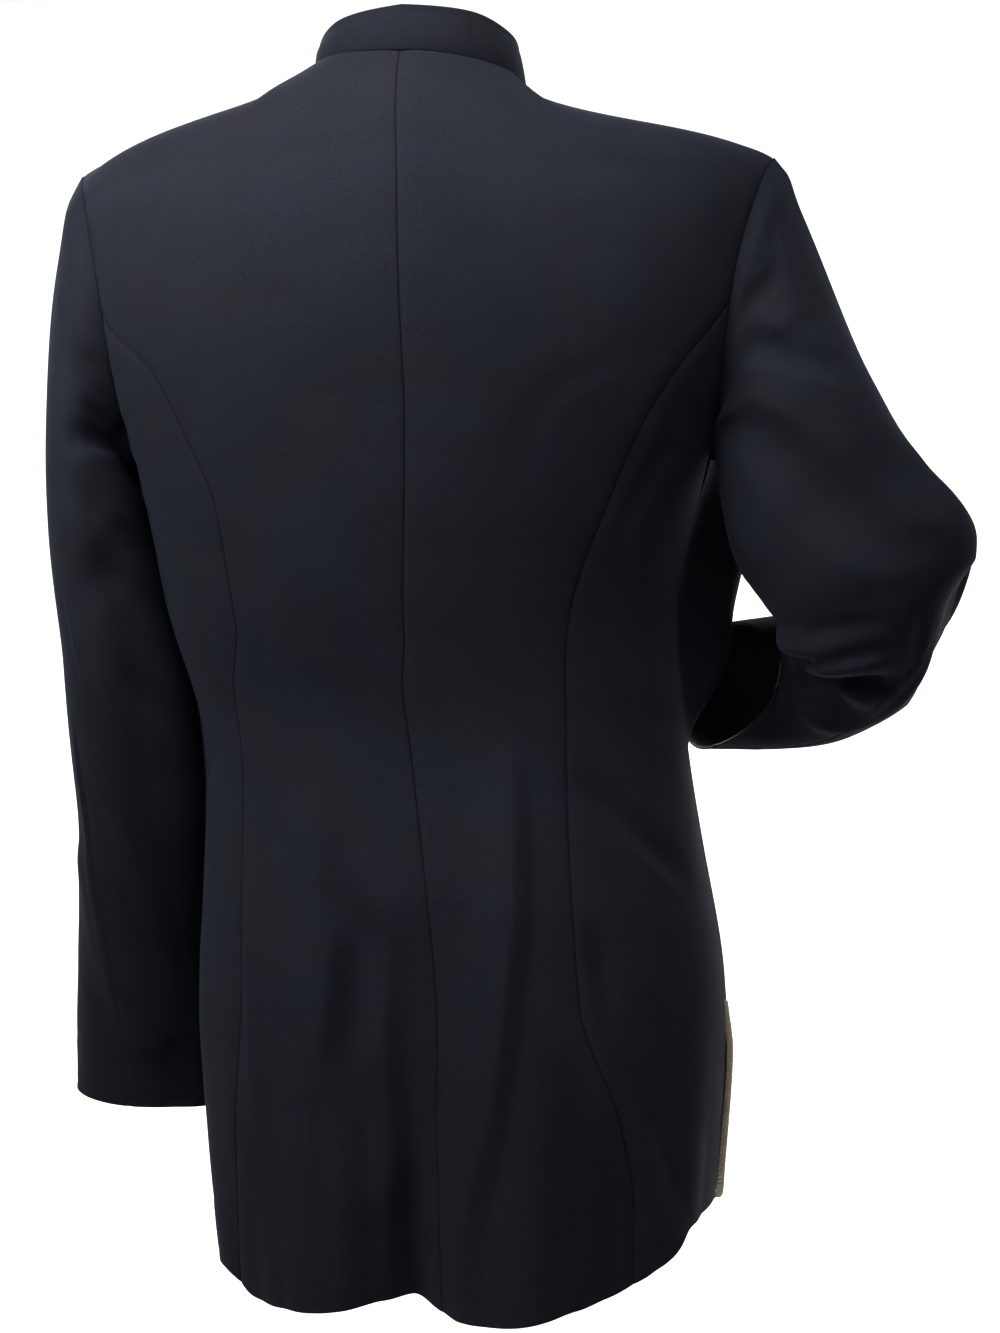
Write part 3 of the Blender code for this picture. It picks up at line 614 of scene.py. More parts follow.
@dataclass(frozen=True)
class PaleFloor:
    """A plain, almost white painted floor and backdrop.

    Attributes:
        colour, dimmer: Its colour, and the factor on it in its faint clouds.
        rough: How matt it is.
    """

    colour: Triple = (0.86, 0.865, 0.87)
    dimmer: float = 0.985
    rough: float = 0.86

    def make(self, name: str) -> bpy.types.Material:
        """The material under this name.

        Args:
            name: The name.

        Returns:
            The material.
        """
        nodes = Nodes(name)
        cloud = nodes.noise(Grain(0.8, 2.0), nodes.add("ShaderNodeTexCoord", {}, {}).outputs["Object"])
        clouds = tuple(part * self.dimmer for part in self.colour)
        return nodes.surface(
            Base_Color=nodes.mix(cloud.held(), clouds, self.colour),
            Roughness=self.rough + (cloud - 0.5) * 0.08,
            Specular_IOR_Level=0.2,
        )


# ---- Shells of cloth ----

SEAM_BAND = tuple(place * MM for place in (0.0, 0.08, 0.25, 0.5, 0.85, 1.6, 3.0))
CORNER_BAND = SEAM_BAND + tuple(place * MM for place in (5.0, 8.0, 12.0, 17.0, 22.0))
# The relief beside an edge: each part's depth or height, then its place where it has one, and its width.
SEAM_HOLLOW = (0.80 * MM, 2.2 * MM)
ALLOWANCE_RIDGE = (0.22 * MM, 11 * MM, 4.5 * MM)
STITCH_HOLLOW = (0.30 * MM, 5.0 * MM, 2.2 * MM)
HEM_RIDGE = (0.30 * MM, 34 * MM, 5 * MM)
# The width over which shade is painted into the cloth's colour beside a sewn edge.
SEAM_SHADE = 0.70 * MM


class Edge(Enum):
    """How an edge of a cloth piece is finished."""

    SEWN = "sewn to its neighbour and pressed"
    TURNED = "turned under"


@dataclass
class Shell:
    """A closed wall of cloth on a grid of points.

    Attributes:
        outer: Rows by columns by 3, the face that shows.
        through: The way through the cloth at each point.
        uv: The cloth's own measures at each point, with a last column more where the grid closes.
        edges: The finish of the first row, last row, first column and last column.
        thickness: Of the cloth.
        closed: Whether the last column joins the first.
    """

    outer: Array
    through: Array
    uv: Array
    edges: tuple[Edge, Edge, Edge, Edge]
    thickness: float = 1.8 * MM
    closed: bool = False

    def _distances(self) -> list[Array]:
        """How far each point is along the grid from the first and last row, and the first and last column.

        Returns:
            The two or four arrays of distances.
        """
        found = []
        for axis in (0,) if self.closed else (0, 1):
            steps = np.linalg.norm(np.diff(self.outer, axis=axis), axis=2)
            over = np.insert(np.cumsum(steps, axis=axis), 0, 0.0, axis=axis)
            found += [over, np.take(over, [-1], axis=axis) - over]
        return found

    def _profile(self, distance: Array, edge: Edge) -> tuple[Array, Array]:
        """What an edge takes off each face.

        The edge is rounded as a quarter circle on each face. A sewn edge also sinks a little as it nears its
        seam, with the faint ridge of the allowance pressed open behind it. A turned edge is a little thicker
        up to where its hem ends.

        Args:
            distance: From the edge, in metres.
            edge: Its finish.

        Returns:
            How far the outer face goes in for the rounding, and how far the whole wall goes in.
        """
        radius = 0.45 * self.thickness
        inside = np.clip(radius - distance, 0, radius)
        if edge is Edge.SEWN:
            (depth, width), (height, *ridge) = SEAM_HOLLOW, ALLOWANCE_RIDGE
            sink = depth * np.exp(-((distance / width) ** 1.3)) - height * hill(distance, *ridge)
        else:
            (depth, *hollow), (height, place, width) = STITCH_HOLLOW, HEM_RIDGE
            sink = depth * hill(distance, *hollow) - height * (1 - smooth((distance - place) / width))
        return radius - np.sqrt(radius**2 - inside**2), sink

    def shade(self) -> Array:
        """How much shade is painted into each point's colour beside a seam: a hill of its distance from a
        sewn edge.
        """
        deep = np.zeros(self.outer.shape[:2])
        for distance, edge in zip(self._distances(), self.edges):
            if edge is Edge.SEWN:
                deep = np.maximum(deep, hill(distance, 0.0, SEAM_SHADE))
        return np.tile(deep.ravel(), 2)

    def faces(self) -> tuple[Array, Array, Array, Array]:
        """The mesh of the wall.

        Returns:
            Its points, four-sided faces, the uv of each face's corners, and the material of each face.
        """
        rounding, sink = np.zeros(self.outer.shape[:2]), np.zeros(self.outer.shape[:2])
        for distance, edge in zip(self._distances(), self.edges):
            rounded, sunk = self._profile(distance, edge)
            rounding = np.maximum(rounding, rounded)
            sink = sink + sunk
        outer = self.outer + self.through * (rounding + sink)[:, :, None]
        inner = self.outer + self.through * (self.thickness - rounding + sink)[:, :, None]
        count = rounding.size
        index = np.arange(count).reshape(rounding.shape)
        index = looped(index) if self.closed else index
        place = np.arange(index.size).reshape(index.shape)
        sides = [(index[0], place[0], 1), (index[-1], place[-1], -1)]
        if not self.closed:
            sides += [(index[:, 0], place[:, 0], -1), (index[:, -1], place[:, -1], 1)]
        rings = [
            (cells(index), cells(place), 0),
            ([corner + count for corner in cells(index)[::-1]], cells(place)[::-1], 1),
        ]
        for line, mark, way in sides:
            corners = [line[1:], line[:-1], line[:-1] + count, line[1:] + count]
            rings.append((corners[::way], [mark[1:], mark[:-1], mark[:-1], mark[1:]][::way], 0))
        quads, marks = (
            np.concatenate([np.stack([part.ravel() for part in ring[which]], axis=1) for ring in rings])
            for which in (0, 1)
        )
        kinds = np.concatenate([np.full(ring[0][0].size, ring[2]) for ring in rings])
        points = np.concatenate([outer.reshape(-1, 3), inner.reshape(-1, 3)])
        return points, quads, self.uv.reshape(-1, 2)[marks], kinds


def signed_volume(points: Array, quads: Array) -> float:
    """Six times the volume inside four-sided faces, above 0 where they point out."""
    total = 0.0
    for corner in (1, 2):
        a, b, c = points[quads[:, 0]], points[quads[:, corner]], points[quads[:, corner + 1]]
        total += float(np.einsum("ij,ij->i", a, np.cross(b, c)).sum())
    return total


def placed(name: str, data: bpy.types.ID) -> bpy.types.Object:
    """A new object of some data, linked to the scene."""
    thing = bpy.data.objects.new(name, data)
    bpy.context.scene.collection.objects.link(thing)
    return thing


def mesh_object(name: str, points: Array, quads: Array, uv: Array, kinds: Array) -> bpy.types.Object:
    """A smooth mesh object from arrays, turned to face out.

    Args:
        name: Of the piece.
        points: Its points.
        quads: Four corners of each face.
        uv: The cloth measures of each face's corners.
        kinds: The material number of each face.

    Returns:
        The object, linked to the scene.
    """
    if signed_volume(points, quads) < 0:
        quads, uv = quads[:, ::-1], uv[:, ::-1]
    mesh = bpy.data.meshes.new(name)
    mesh.vertices.add(len(points))
    mesh.vertices.foreach_set("co", points.astype(np.float32).ravel())
    mesh.loops.add(quads.size)
    mesh.loops.foreach_set("vertex_index", quads.astype(np.int32).ravel())
    mesh.polygons.add(len(quads))
    mesh.polygons.foreach_set("loop_start", np.arange(0, quads.size, 4, dtype=np.int32))
    mesh.polygons.foreach_set("material_index", kinds.astype(np.int32))
    layer = mesh.uv_layers.new(name=CLOTH_UV)
    layer.data.foreach_set("uv", uv.astype(np.float32).ravel())
    mesh.update(calc_edges=True)
    mesh.validate()
    mesh.shade_smooth()
    return placed(name, mesh)


def stand_for(piece: bpy.types.Object, node: str) -> None:
    """Puts a piece on the body in place of its solid, which it hides."""
    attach(piece, "root")
    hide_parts(node)


@dataclass(frozen=True)
class Cut:
    """The flat size a piece was cut to.

    Attributes:
        width, length: Of the cloth it was cut from.
        area: Of the piece itself.
        sewn_to: The nodes that carry it.
    """

    width: float
    length: float
    area: float
    sewn_to: tuple[str, ...]


def dress(node: str, cut: Cut, shell: Shell) -> None:
    """Makes a cloth piece, gives it its finishes and says what it stands for.

    Args:
        node: The solid it replaces.
        cut: Its flat size, which is not used.
        shell: Its wall.
    """
    piece = mesh_object(node + "_cloth", *shell.faces())
    # Painted shade: how far each point's colour is darkened beside a seam.
    layer = piece.data.attributes.new(SEAM_SHADE_LAYER, "FLOAT", "POINT")
    layer.data.foreach_set("value", shell.shade().astype(np.float32))
    piece.data.materials.append(Suiting().make(node + "_cloth"))
    piece.data.materials.append(InsideFace().make(node + "_inside"))
    stand_for(piece, node)
    list(cut.sewn_to)
    areas = np.zeros(len(piece.data.polygons))
    piece.data.polygons.foreach_get("area", areas)
    log.info("%s: %d faces, %.4f square metres of cloth", piece.name, len(areas), areas.sum() / 2)


# ---- The body ----


class Face(Enum):
    """The two faces of the body, numbered as in pairs of their values."""

    BACK = 0
    FRONT = 1


@dataclass(frozen=True)
class Section:
    """One row of the body, from the middle of a face to its edge.

    Attributes:
        level: Names the row, by about its height.
        centre_z, centre_y: Height and depth of the middle.
        edge_z, edge_y: Height and depth at the side seam or the armhole.
        wide: Half the width at the side.
        square: 2 for an oval, more for a boxier row.
    """

    level: float
    centre_z: float
    centre_y: float
    edge_z: float
    edge_y: float
    wide: float
    square: float

    def points(self, share: Array) -> Array:
        """Points of the row, part of a boxy oval.

        x is wide times the sine, and y centre_y times the cosine, of an angle that grows with share, each to
        the power 2 / square. Near the edge the angle is held back so that the row ends at edge_y. z goes from
        centre_z to edge_z with share to the power 1.5.

        Args:
            share: 0 in the middle, 1 at the edge.

        Returns:
            A point for each share.
        """
        power = 2.0 / self.square
        turn = math.acos((self.edge_y / self.centre_y) ** (1 / power))
        angle = share * math.pi / 2 - (math.pi / 2 - turn) * share**2.5
        x = self.wide * np.sin(angle) ** power
        y = self.centre_y * np.abs(np.cos(angle)) ** power
        z = self.centre_z + (self.edge_z - self.centre_z) * share**1.5
        return np.stack([x, y, z], axis=1)


BACK_SECTIONS = (
    Section(-0.765, -0.765, 0.131, -0.765, 0, 0.161, 2.4),
    Section(-0.68, -0.68, 0.127, -0.68, 0, 0.168, 2.4),
    Section(-0.592, -0.592, 0.121, -0.592, 0, 0.1715, 2.4),
    Section(-0.5, -0.5, 0.108, -0.5, 0, 0.161, 2.4),
    Section(-0.412, -0.412, 0.091, -0.412, 0, 0.1545, 2.4),
    Section(-0.335, -0.335, 0.101, -0.335, 0, 0.165, 2.4),
    Section(-0.29, -0.288, 0.108, -0.292, 0, 0.173, 2.4),
    Section(-0.248, -0.244, 0.113, -0.248, 0, 0.183, 2.4),
    Section(-0.236, -0.23, 0.114, -0.241, 0.027, 0.189, 2.4),
    Section(-0.215, -0.21, 0.115, -0.222, 0.043, 0.196, 2.4),
    Section(-0.185, -0.18, 0.117, -0.19, 0.052, 0.205, 2.4),
    Section(-0.15, -0.145, 0.117, -0.15, 0.055, 0.2125, 2.3),
    Section(-0.085, -0.08, 0.106, -0.098, 0.036, 0.2195, 2.1),
    Section(-0.033, -0.033, 0.083, -0.0745, 0.019, 0.2225, 2),
)
FRONT_SECTIONS = (
    Section(-0.765, -0.752, -0.126, -0.765, 0, 0.161, 2.4),
    Section(-0.68, -0.672, -0.123, -0.68, 0, 0.168, 2.4),
    Section(-0.592, -0.588, -0.119, -0.592, 0, 0.1715, 2.4),
    Section(-0.5, -0.498, -0.113, -0.5, 0, 0.161, 2.4),
    Section(-0.412, -0.412, -0.108, -0.412, 0, 0.1545, 2.5),
    Section(-0.335, -0.338, -0.126, -0.335, 0, 0.165, 2.7),
    Section(-0.29, -0.296, -0.138, -0.292, 0, 0.173, 2.8),
    Section(-0.248, -0.258, -0.139, -0.248, 0, 0.183, 2.7),
    Section(-0.236, -0.246, -0.137, -0.241, -0.027, 0.189, 2.6),
    Section(-0.215, -0.232, -0.134, -0.222, -0.043, 0.195, 2.5),
    Section(-0.185, -0.21, -0.128, -0.188, -0.053, 0.203, 2.4),
    Section(-0.15, -0.182, -0.119, -0.146, -0.053, 0.2105, 2.3),
    Section(-0.085, -0.13, -0.101, -0.098, -0.034, 0.2195, 2.1),
    Section(-0.033, -0.098, -0.087, -0.0745, -0.018, 0.2225, 2),
)


@dataclass(frozen=True)
class NeckRing:
    """The ring round the neck that the collar is sewn to.

    Attributes:
        half_width: Half its width at the seam with the body.
        back, front: How far back it goes, and forward, below 0.
        heights: Degrees round from the centre back, the seam's height there and the band's top edge there.
        shoulder_turn: How far round the shoulder seam meets it.
    """

    half_width: float = 0.067
    back: float = 0.056
    front: float = -0.078
    heights: tuple[Triple, ...] = (
        (0, 0.000, 0.0285),
        (40, 0.002, 0.0245),
        (68, 0.000, 0.0170),
        (90, -0.012, 0.0110),
        (110, -0.026, 0.0020),
        (140, -0.056, -0.0240),
        (180, -0.078, -0.0500),
    )
    shoulder_turn: float = math.radians(68)

    def middle(self) -> float:
        """How far back the ring's middle is."""
        return (self.back + self.front) / 2

    def around(self, angle: Array, half_width: float, back: float, front: float, column: int) -> Array:
        """A ring: x is half_width times the sine of the angle and y runs from back to front with its cosine.

        Args:
            angle: 0 at the centre back, pi / 2 at the wearer's left, pi at the front.
            half_width, back, front: Its size.
            column: Which height of the table it has.

        Returns:
            A point for each angle.
        """
        turned = np.degrees(np.abs((angle + np.pi) % (2 * np.pi) - np.pi))
        rows = np.array(self.heights)
        x = half_width * np.sin(angle)
        y = (back + front) / 2 + (back - front) / 2 * np.cos(angle)
        return np.stack([x, y, curve_through(rows[:, 0], rows[:, column], turned)], axis=1)

    def seam(self, angle: Array) -> Array:
        """The seam between the body and the collar."""
        return self.around(angle, self.half_width, self.back, self.front, 1)


@dataclass(frozen=True)
class Settling:
    """How the whole jacket has settled on its wearer.

    Attributes:
        lean: How much higher the left is than the right, per metre across.
        drop, middle: How much lower the cloth right of the neck sits, and where across that is.
        inside, outside: How far it reaches toward the middle and toward the shoulder.
        start, over: The height at which all this begins, and what it takes to be complete.
    """

    lean: float = 0.020
    drop: float = 0.010
    middle: float = -0.085
    inside: float = 0.085
    outside: float = 0.140
    start: float = -0.300
    over: float = 0.200

    def apply(self, points: Array) -> Array:
        """The points moved: a tilt, and a bell across, both easing in with height."""
        moved = points.copy()
        x = points[:, 0] - self.middle
        dropped = self.drop * bell(x / np.where(x > 0, self.inside, self.outside))
        moved[:, 2] += (self.lean * points[:, 0] - dropped) * smooth((points[:, 2] - self.start) / self.over)
        return moved


@dataclass(frozen=True)
class Fold:
    """A main fold, straight, of even width and of a height that changes along it.

    Attributes:
        start, end: The cloth's two measures at its ends.
        half_width: Half its width.
        rises: Its height at the two ends, below 0 for a trough.
    """

    start: Pair
    end: Pair
    half_width: float
    rises: Pair

    def height(self, u: Array, v: Array, scale: Pair) -> Array:
        """Its height: the rise times a bell of the distance over half_width.

        The rise goes from its first value to its second with the share of the way to the power 1.5.

        Args:
            u, v: The two measures of each point.
            scale: Metres of cloth in one of each measure.

        Returns:
            How far it pushes each point out.
        """
        start = np.array(self.start) * scale
        run = np.array(self.end) * scale - start
        away = np.stack([u * scale[0], v * scale[1]], axis=1) - start
        held = np.clip(away @ run / (run @ run), 0, 1)
        gap = np.linalg.norm(away - held[:, None] * run, axis=1) / self.half_width
        return (self.rises[0] + (self.rises[1] - self.rises[0]) * held**1.5) * bell(gap)


# The main folds of each face, and its creases of wear, in shares of the face and levels.
BACK_FOLDS = (
    Fold((0.27, -0.56), (0.24, -0.8), 0.03, (0, 0.015)),
    Fold((0.37, -0.64), (0.365, -0.8), 0.03, (0, 0.008)),
    Fold((0.06, -0.52), (0.06, -0.8), 0.03, (0, -0.028)),
    Fold((-0.2, -0.47), (-0.16, -0.8), 0.032, (0, 0.018)),
    Fold((-0.44, -0.56), (-0.4, -0.8), 0.028, (0, -0.01)),
    Fold((-0.7, -0.56), (-0.66, -0.8), 0.034, (0, 0.008)),
    Fold((0.74, -0.56), (0.72, -0.8), 0.034, (0, 0.006)),
)
FRONT_FOLDS = (
    Fold((0.3, -0.54), (0.32, -0.8), 0.034, (0, 0.01)),
    Fold((0.6, -0.54), (0.58, -0.8), 0.03, (0, -0.008)),
    Fold((-0.28, -0.56), (-0.32, -0.8), 0.034, (0, 0.009)),
    Fold((-0.58, -0.54), (-0.6, -0.8), 0.03, (0, -0.009)),
    Fold((-0.8, -0.315), (-0.8, -0.37), 0.078, (0.034, 0.032)),
    Fold((0.8, -0.28), (0.8, -0.34), 0.06, (0.006, 0.005)),
)
BACK_CREASES = (
    Crease((17, 19), ((0.185, -0.44, 0), (0.168, -0.505, -5.8), (0.135, -0.54, -10.4), (0.148, -0.58, -12),
        (0.16, -0.62, -9.6), (0.15, -0.7, 0))),
    Crease((9, 12), ((0.235, -0.59, 0), (0.228, -0.65, -3.4), (0.215, -0.73, 0))),
    Crease((9, 12), ((0.128, -0.605, 0), (0.122, -0.645, -3.2), (0.112, -0.7, 0))),
    Crease((15, 18), ((0.03, -0.51, 0), (0.03, -0.56, -6), (0.026, -0.62, -8.4), (0.018, -0.67, -8.8),
        (0.04, -0.72, -9.2), (0.045, -0.79, -8))),
    Crease((9, 9), ((0.09, -0.64, 0), (0.092, -0.7, 2), (0.098, -0.79, 2.6))),
    Crease((26, 13), ((-0.19, -0.42, 0), (-0.184, -0.456, 4.2), (-0.164, -0.52, 6.8), (-0.135, -0.561, 7.4),
        (-0.105, -0.615, 7.2), (-0.08, -0.655, 6), (-0.035, -0.711, 4.4), (-0.02, -0.78, 2.2)), 0.3),
    Crease((28, 20), ((-0.29, -0.56, 0), (-0.34, -0.6, 3.6), (-0.42, -0.65, 6), (-0.5, -0.7, 6.4),
        (-0.59, -0.765, 5)), 0.1),
    Crease((12, 12), ((-0.352, -0.525, 0), (-0.378, -0.56, -4.6), (-0.392, -0.6, 0))),
    Crease((13, 19), ((-0.33, -0.44, 0), (-0.48, -0.466, -3.4), (-0.64, -0.494, -4.4), (-0.8, -0.516, 0))),
    Crease((6, 16), ((0.452, -0.43, 0), (0.45, -0.52, 1.1), (0.445, -0.6, 1.1), (0.455, -0.69, 0))),
    Crease((5, 5), ((0.015, -0.515, 0), (-0.04, -0.517, -0.5), (-0.105, -0.515, 0))),
    Crease((15, 13), ((-0.5, -0.178, 0), (-0.41, -0.19, -0.5), (-0.32, -0.2, -0.7), (-0.255, -0.216, -0.8),
        (-0.24, -0.245, -0.7), (-0.238, -0.28, 0))),
    Crease((12, 14), ((-0.68, -0.225, 0), (-0.61, -0.258, -2), (-0.53, -0.3, 0))),
    Crease((11, 12), ((0.56, -0.3, 0), (0.53, -0.345, -0.9), (0.5, -0.4, 0))),
    Crease((9, 13), ((0.6, -0.42, 0), (0.76, -0.44, -1.2), (0.92, -0.455, 0))),
    Crease((9, 12), ((-0.56, -0.4, 0), (-0.72, -0.412, -1.3), (-0.9, -0.42, 0))),
)
FRONT_CREASES = (
    Crease((42, 42), ((-0.92, -0.19, 0), (-0.9, -0.235, 5), (-0.88, -0.3, 6.5), (-0.88, -0.37, 6.5),
        (-0.91, -0.425, 0))),
    Crease((11, 13), ((0.52, -0.3, 0), (0.48, -0.35, -1.4), (0.43, -0.42, 0))),
    Crease((13, 11), ((-0.5, -0.29, 0), (-0.47, -0.35, -1.6), (-0.44, -0.43, 0))),
    Crease((9, 13), ((0.1, -0.4, 0), (0.26, -0.418, -1.5), (0.46, -0.425, 0))),
    Crease((9, 12), ((-0.08, -0.395, 0), (-0.28, -0.415, -1.6), (-0.5, -0.42, 0))),
    Crease((9, 12), ((0.62, -0.4, 0), (0.78, -0.43, -1.4), (0.93, -0.45, 0))),
    Crease((9, 12), ((-0.64, -0.43, 0), (-0.78, -0.445, -1.6), (-0.93, -0.46, 0))),
    Crease((15, 20), ((0.18, -0.52, 0), (0.15, -0.62, -2.6), (0.17, -0.79, -4.6))),
    Crease((17, 18), ((-0.14, -0.53, 0), (-0.16, -0.64, -3), (-0.13, -0.79, -4.4))),
    Crease((16, 19), ((0.78, -0.6, 0), (0.76, -0.68, 2), (0.77, -0.79, 3.6))),
    Crease((18, 16), ((-0.7, -0.6, 0), (-0.69, -0.68, 2), (-0.68, -0.79, 3.4))),
    Crease((10, 12), ((0.88, -0.14, 0), (0.74, -0.18, -1.3), (0.62, -0.215, 0))),
    Crease((12, 10), ((-0.88, -0.14, 0), (-0.74, -0.175, -1.5), (-0.61, -0.21, 0))),
)


class Seam(Enum):
    """The lines that bound the pieces of the body, the first five numbered as in the rows of seams."""

    CENTRE_BACK = 1
    BACK_LEFT = 2
    BACK_RIGHT = 3
    FRONT_LEFT = 4
    FRONT_RIGHT = 5
    OPENING = 6
    SIDE = 7


# Where folds and creases fade out: shares of a face at its side seam and beside the slit, and heights above
# the slit and under the top edge.
SIDE_EASE, SLIT_SIDE_EASE, SLIT_EASE, TOP_EASE = 0.10, 0.06, 0.045, 0.030
# The flare of the front's slit edge: its share of the face, and the height over which it opens.
FLARE_SHARE, FLARE_OPENS = 0.22, 0.05
# Where the way through the cloth turns: levels under the top edge and under the armhole, the share round the
# meeting of neck and shoulder, and where across and over what share it turns toward the armhole.
TOP_BAND, ARM_BAND, NECK_TURN, ARM_START, ARM_TURN = 0.014, 0.022, 0.04, 0.90, 0.09


@dataclass(frozen=True)
class BodyForm:
    """The form of the body, which all of its pieces are cut from. Pairs are for the back and the front.

    Attributes:
        sections, folds, creases: Of each face.
        seeds, uneven: What turns the unevenness of each face, and its depth.
        neck, settling: The neck ring, and how the jacket has settled.
        tip: The tip of the shoulder.
        pad_rise: The shoulder pad's lift over a straight shoulder line.
        neck_dip: How far the shoulder dips under that line near the neck.
        neck_share: The share of each face's top edge that is neckline.
        hem, slit_top, underarm: Levels of the hem, the top of the slits and the bottom of the armholes.
        aim: The point that the cloth's cut edge faces round the left armhole.
        share_length: Metres of cloth from the middle of a face to its side.
        blend, taps: How far up and down the sections are blended, and the share of that between two taps.
        flare: How far the front's slit edge stands out, on the right and on the left.
        seam_rows: The level, then the share of each seam at that level.
        hem_rows: The share, then how far the hem drops there on the back and the front.
        shift_rows: The level, then how far the body is shifted to the left.
    """

    sections: tuple[tuple[Section, ...], ...] = (BACK_SECTIONS, FRONT_SECTIONS)
    folds: tuple[tuple[Fold, ...], ...] = (BACK_FOLDS, FRONT_FOLDS)
    creases: tuple[tuple[Crease, ...], ...] = (BACK_CREASES, FRONT_CREASES)
    seeds: Pair = (0.7, 1.9)
    uneven: float = 0.55 * MM
    neck: NeckRing = NeckRing()
    settling: Settling = Settling()
    tip: Triple = (0.2220, 0.0, -0.0630)
    pad_rise: float = 0.0020
    neck_dip: float = 0.0075
    neck_share: Pair = (0.32, 0.44)
    hem: float = -0.765
    slit_top: float = -0.592
    underarm: float = -0.248
    aim: Triple = (0.165, 0.0, -0.155)
    share_length: float = 0.235
    blend: float = 0.060
    taps: float = 0.45
    flare: Pair = (0.0036, 0.0018)
    seam_rows: tuple[tuple[float, ...], ...] = (
        (-0.765, 0, 0.6, -0.48, 0.55, -0.55),
        (-0.7, 0, 0.56, -0.455, 0.55, -0.55),
        (-0.65, 0, 0.53, -0.405, 0.54, -0.54),
        (-0.577, -0.005, 0.48, -0.305, 0.54, -0.54),
        (-0.5, 0, 0.5, -0.318, 0.53, -0.53),
        (-0.403, 0.01, 0.5, -0.355, 0.5, -0.5),
        (-0.34, -0.012, 0.385, -0.4, 0.46, -0.46),
        (-0.276, -0.015, 0.395, -0.475, 0.47, -0.47),
        (-0.232, -0.015, 0.465, -0.54, 0.54, -0.54),
        (-0.193, -0.012, 0.575, -0.665, 0.66, -0.66),
        (-0.15, -0.01, 1, -1, 1, -1),
        (-0.1, -0.01, 1.4, -1.4, 1.4, -1.4),
        (0, 0.005, 1.6, -1.6, 1.8, -1.8),
    )
    hem_rows: tuple[Triple, ...] = (
        (1, -0.012, -0.012), (0.7, -0.009, -0.003), (0.5, 0.002, 0), (0.06, -0.006, 0), (-0.03, 0.003, 0),
        (-0.2, -0.001, 0), (-0.4, -0.005, 0), (-0.55, -0.022, -0.002), (-0.7, -0.042, -0.012),
        (-1, -0.04, -0.04),
    )
    shift_rows: tuple[Pair, ...] = (
        (-0.765, -0.011), (-0.592, -0.01), (-0.5, -0.007), (-0.412, -0.002), (-0.335, 0.008),
        (-0.27, 0.005), (-0.2, 0.002), (-0.15, 0.001), (0, 0),
    )

    def shoulder(self, share: Array) -> Array:
        """The shoulder seam, from the neck to its tip: a straight line, a pad's hump and a dip near the neck.

        Args:
            share: 0 at the neck, 1 at the tip.

        Returns:
            A point for each share.
        """
        neck = self.neck.seam(np.array([self.neck.shoulder_turn]))[0]
        line = neck + (np.array(self.tip) - neck) * share[:, None]
        root = np.sqrt(share)
        hump = self.pad_rise * np.sin(np.pi * share**2)
        # 6.75 brings the highest value of root times one less root, squared, to 1.
        line[:, 2] += hump - self.neck_dip * 6.75 * root * (1 - root) ** 2
        return line

    def top(self, share: Array, face: Face) -> Array:
        """The top edge of a face: its neckline, then its shoulder seam.

        Args:
            share: The places across, as shares from the middle to the side.
            face: The face.

        Returns:
            A point for each.
        """
        neck_share = self.neck_share[face.value]
        along = np.clip(share / neck_share, 0, 1)
        turn = self.neck.shoulder_turn
        angle = along * turn if face is Face.BACK else np.pi - along * (np.pi - turn)
        shoulder = self.shoulder(np.clip((share - neck_share) / (1 - neck_share), 0, 1))
        return np.where((share < neck_share)[:, None], self.neck.seam(angle), shoulder)

    def base(self, face: Face, share: Array, level: Array) -> Array:
        """A face without folds.

        A cubic runs up the face through the same share of every section and of the top edge. Each point is
        the mean of five on it, weighted 1, 4, 6, 4, 1 and spaced evenly, closer near the hem and the top
        edge. It is then dropped at the hem, shifted across and settled.

        Args:
            face: The face.
            share: -1 at the right edge, 0 in the middle, 1 at the left.
            level: From the hem to 0 at the top edge.

        Returns:
            The points.
        """
        size, side = np.abs(share), np.sign(share)
        rows = self.sections[face.value]
        knots = np.array([row.level for row in rows] + [0.0])
        values = np.stack([row.points(size) for row in rows] + [self.top(size, face)])
        slopes = rising(knots, values)
        column = np.arange(len(level))
        spacing = self.taps * np.clip(np.minimum(-level, level - self.hem), 0, self.blend)
        points = np.zeros((len(level), 3))
        for step, weight in ((-2, 1), (-1, 4), (0, 6), (1, 4), (2, 1)):
            points += cubic(knots, values, slopes, level + step * spacing, column) * weight / 16
        points[:, 0] *= np.where(side == 0, 1, side)
        hem = np.array(self.hem_rows)
        drop = curve_through(hem[:, 0], hem[:, 1 + face.value], share)
        points[:, 2] -= drop * smooth((self.slit_top - level) / (self.slit_top - self.hem))
        shift = np.array(self.shift_rows)
        points[:, 0] += curve_through(shift[:, 0], shift[:, 1], level)
        return self.settling.apply(points)

    def outward(self, face: Face, share: Array, level: Array) -> Array:
        """The outward direction of a face: the cross product of its steps up and across.

        Args:
            face: The face.
            share, level: The places on it.

        Returns:
            A direction for each.
        """
        step = 1e-3
        low = np.clip(level - step, self.hem - 0.05, -2 * step)
        high = np.clip(level + step, self.hem, 0)
        left, right = np.clip(share + step, -1, 1), np.clip(share - step, -1, 1)
        over = self.base(face, left, level) - self.base(face, right, level)
        up = self.base(face, share, high) - self.base(face, share, low)
        return unit(np.cross(up, over) if face is Face.BACK else np.cross(over, up))

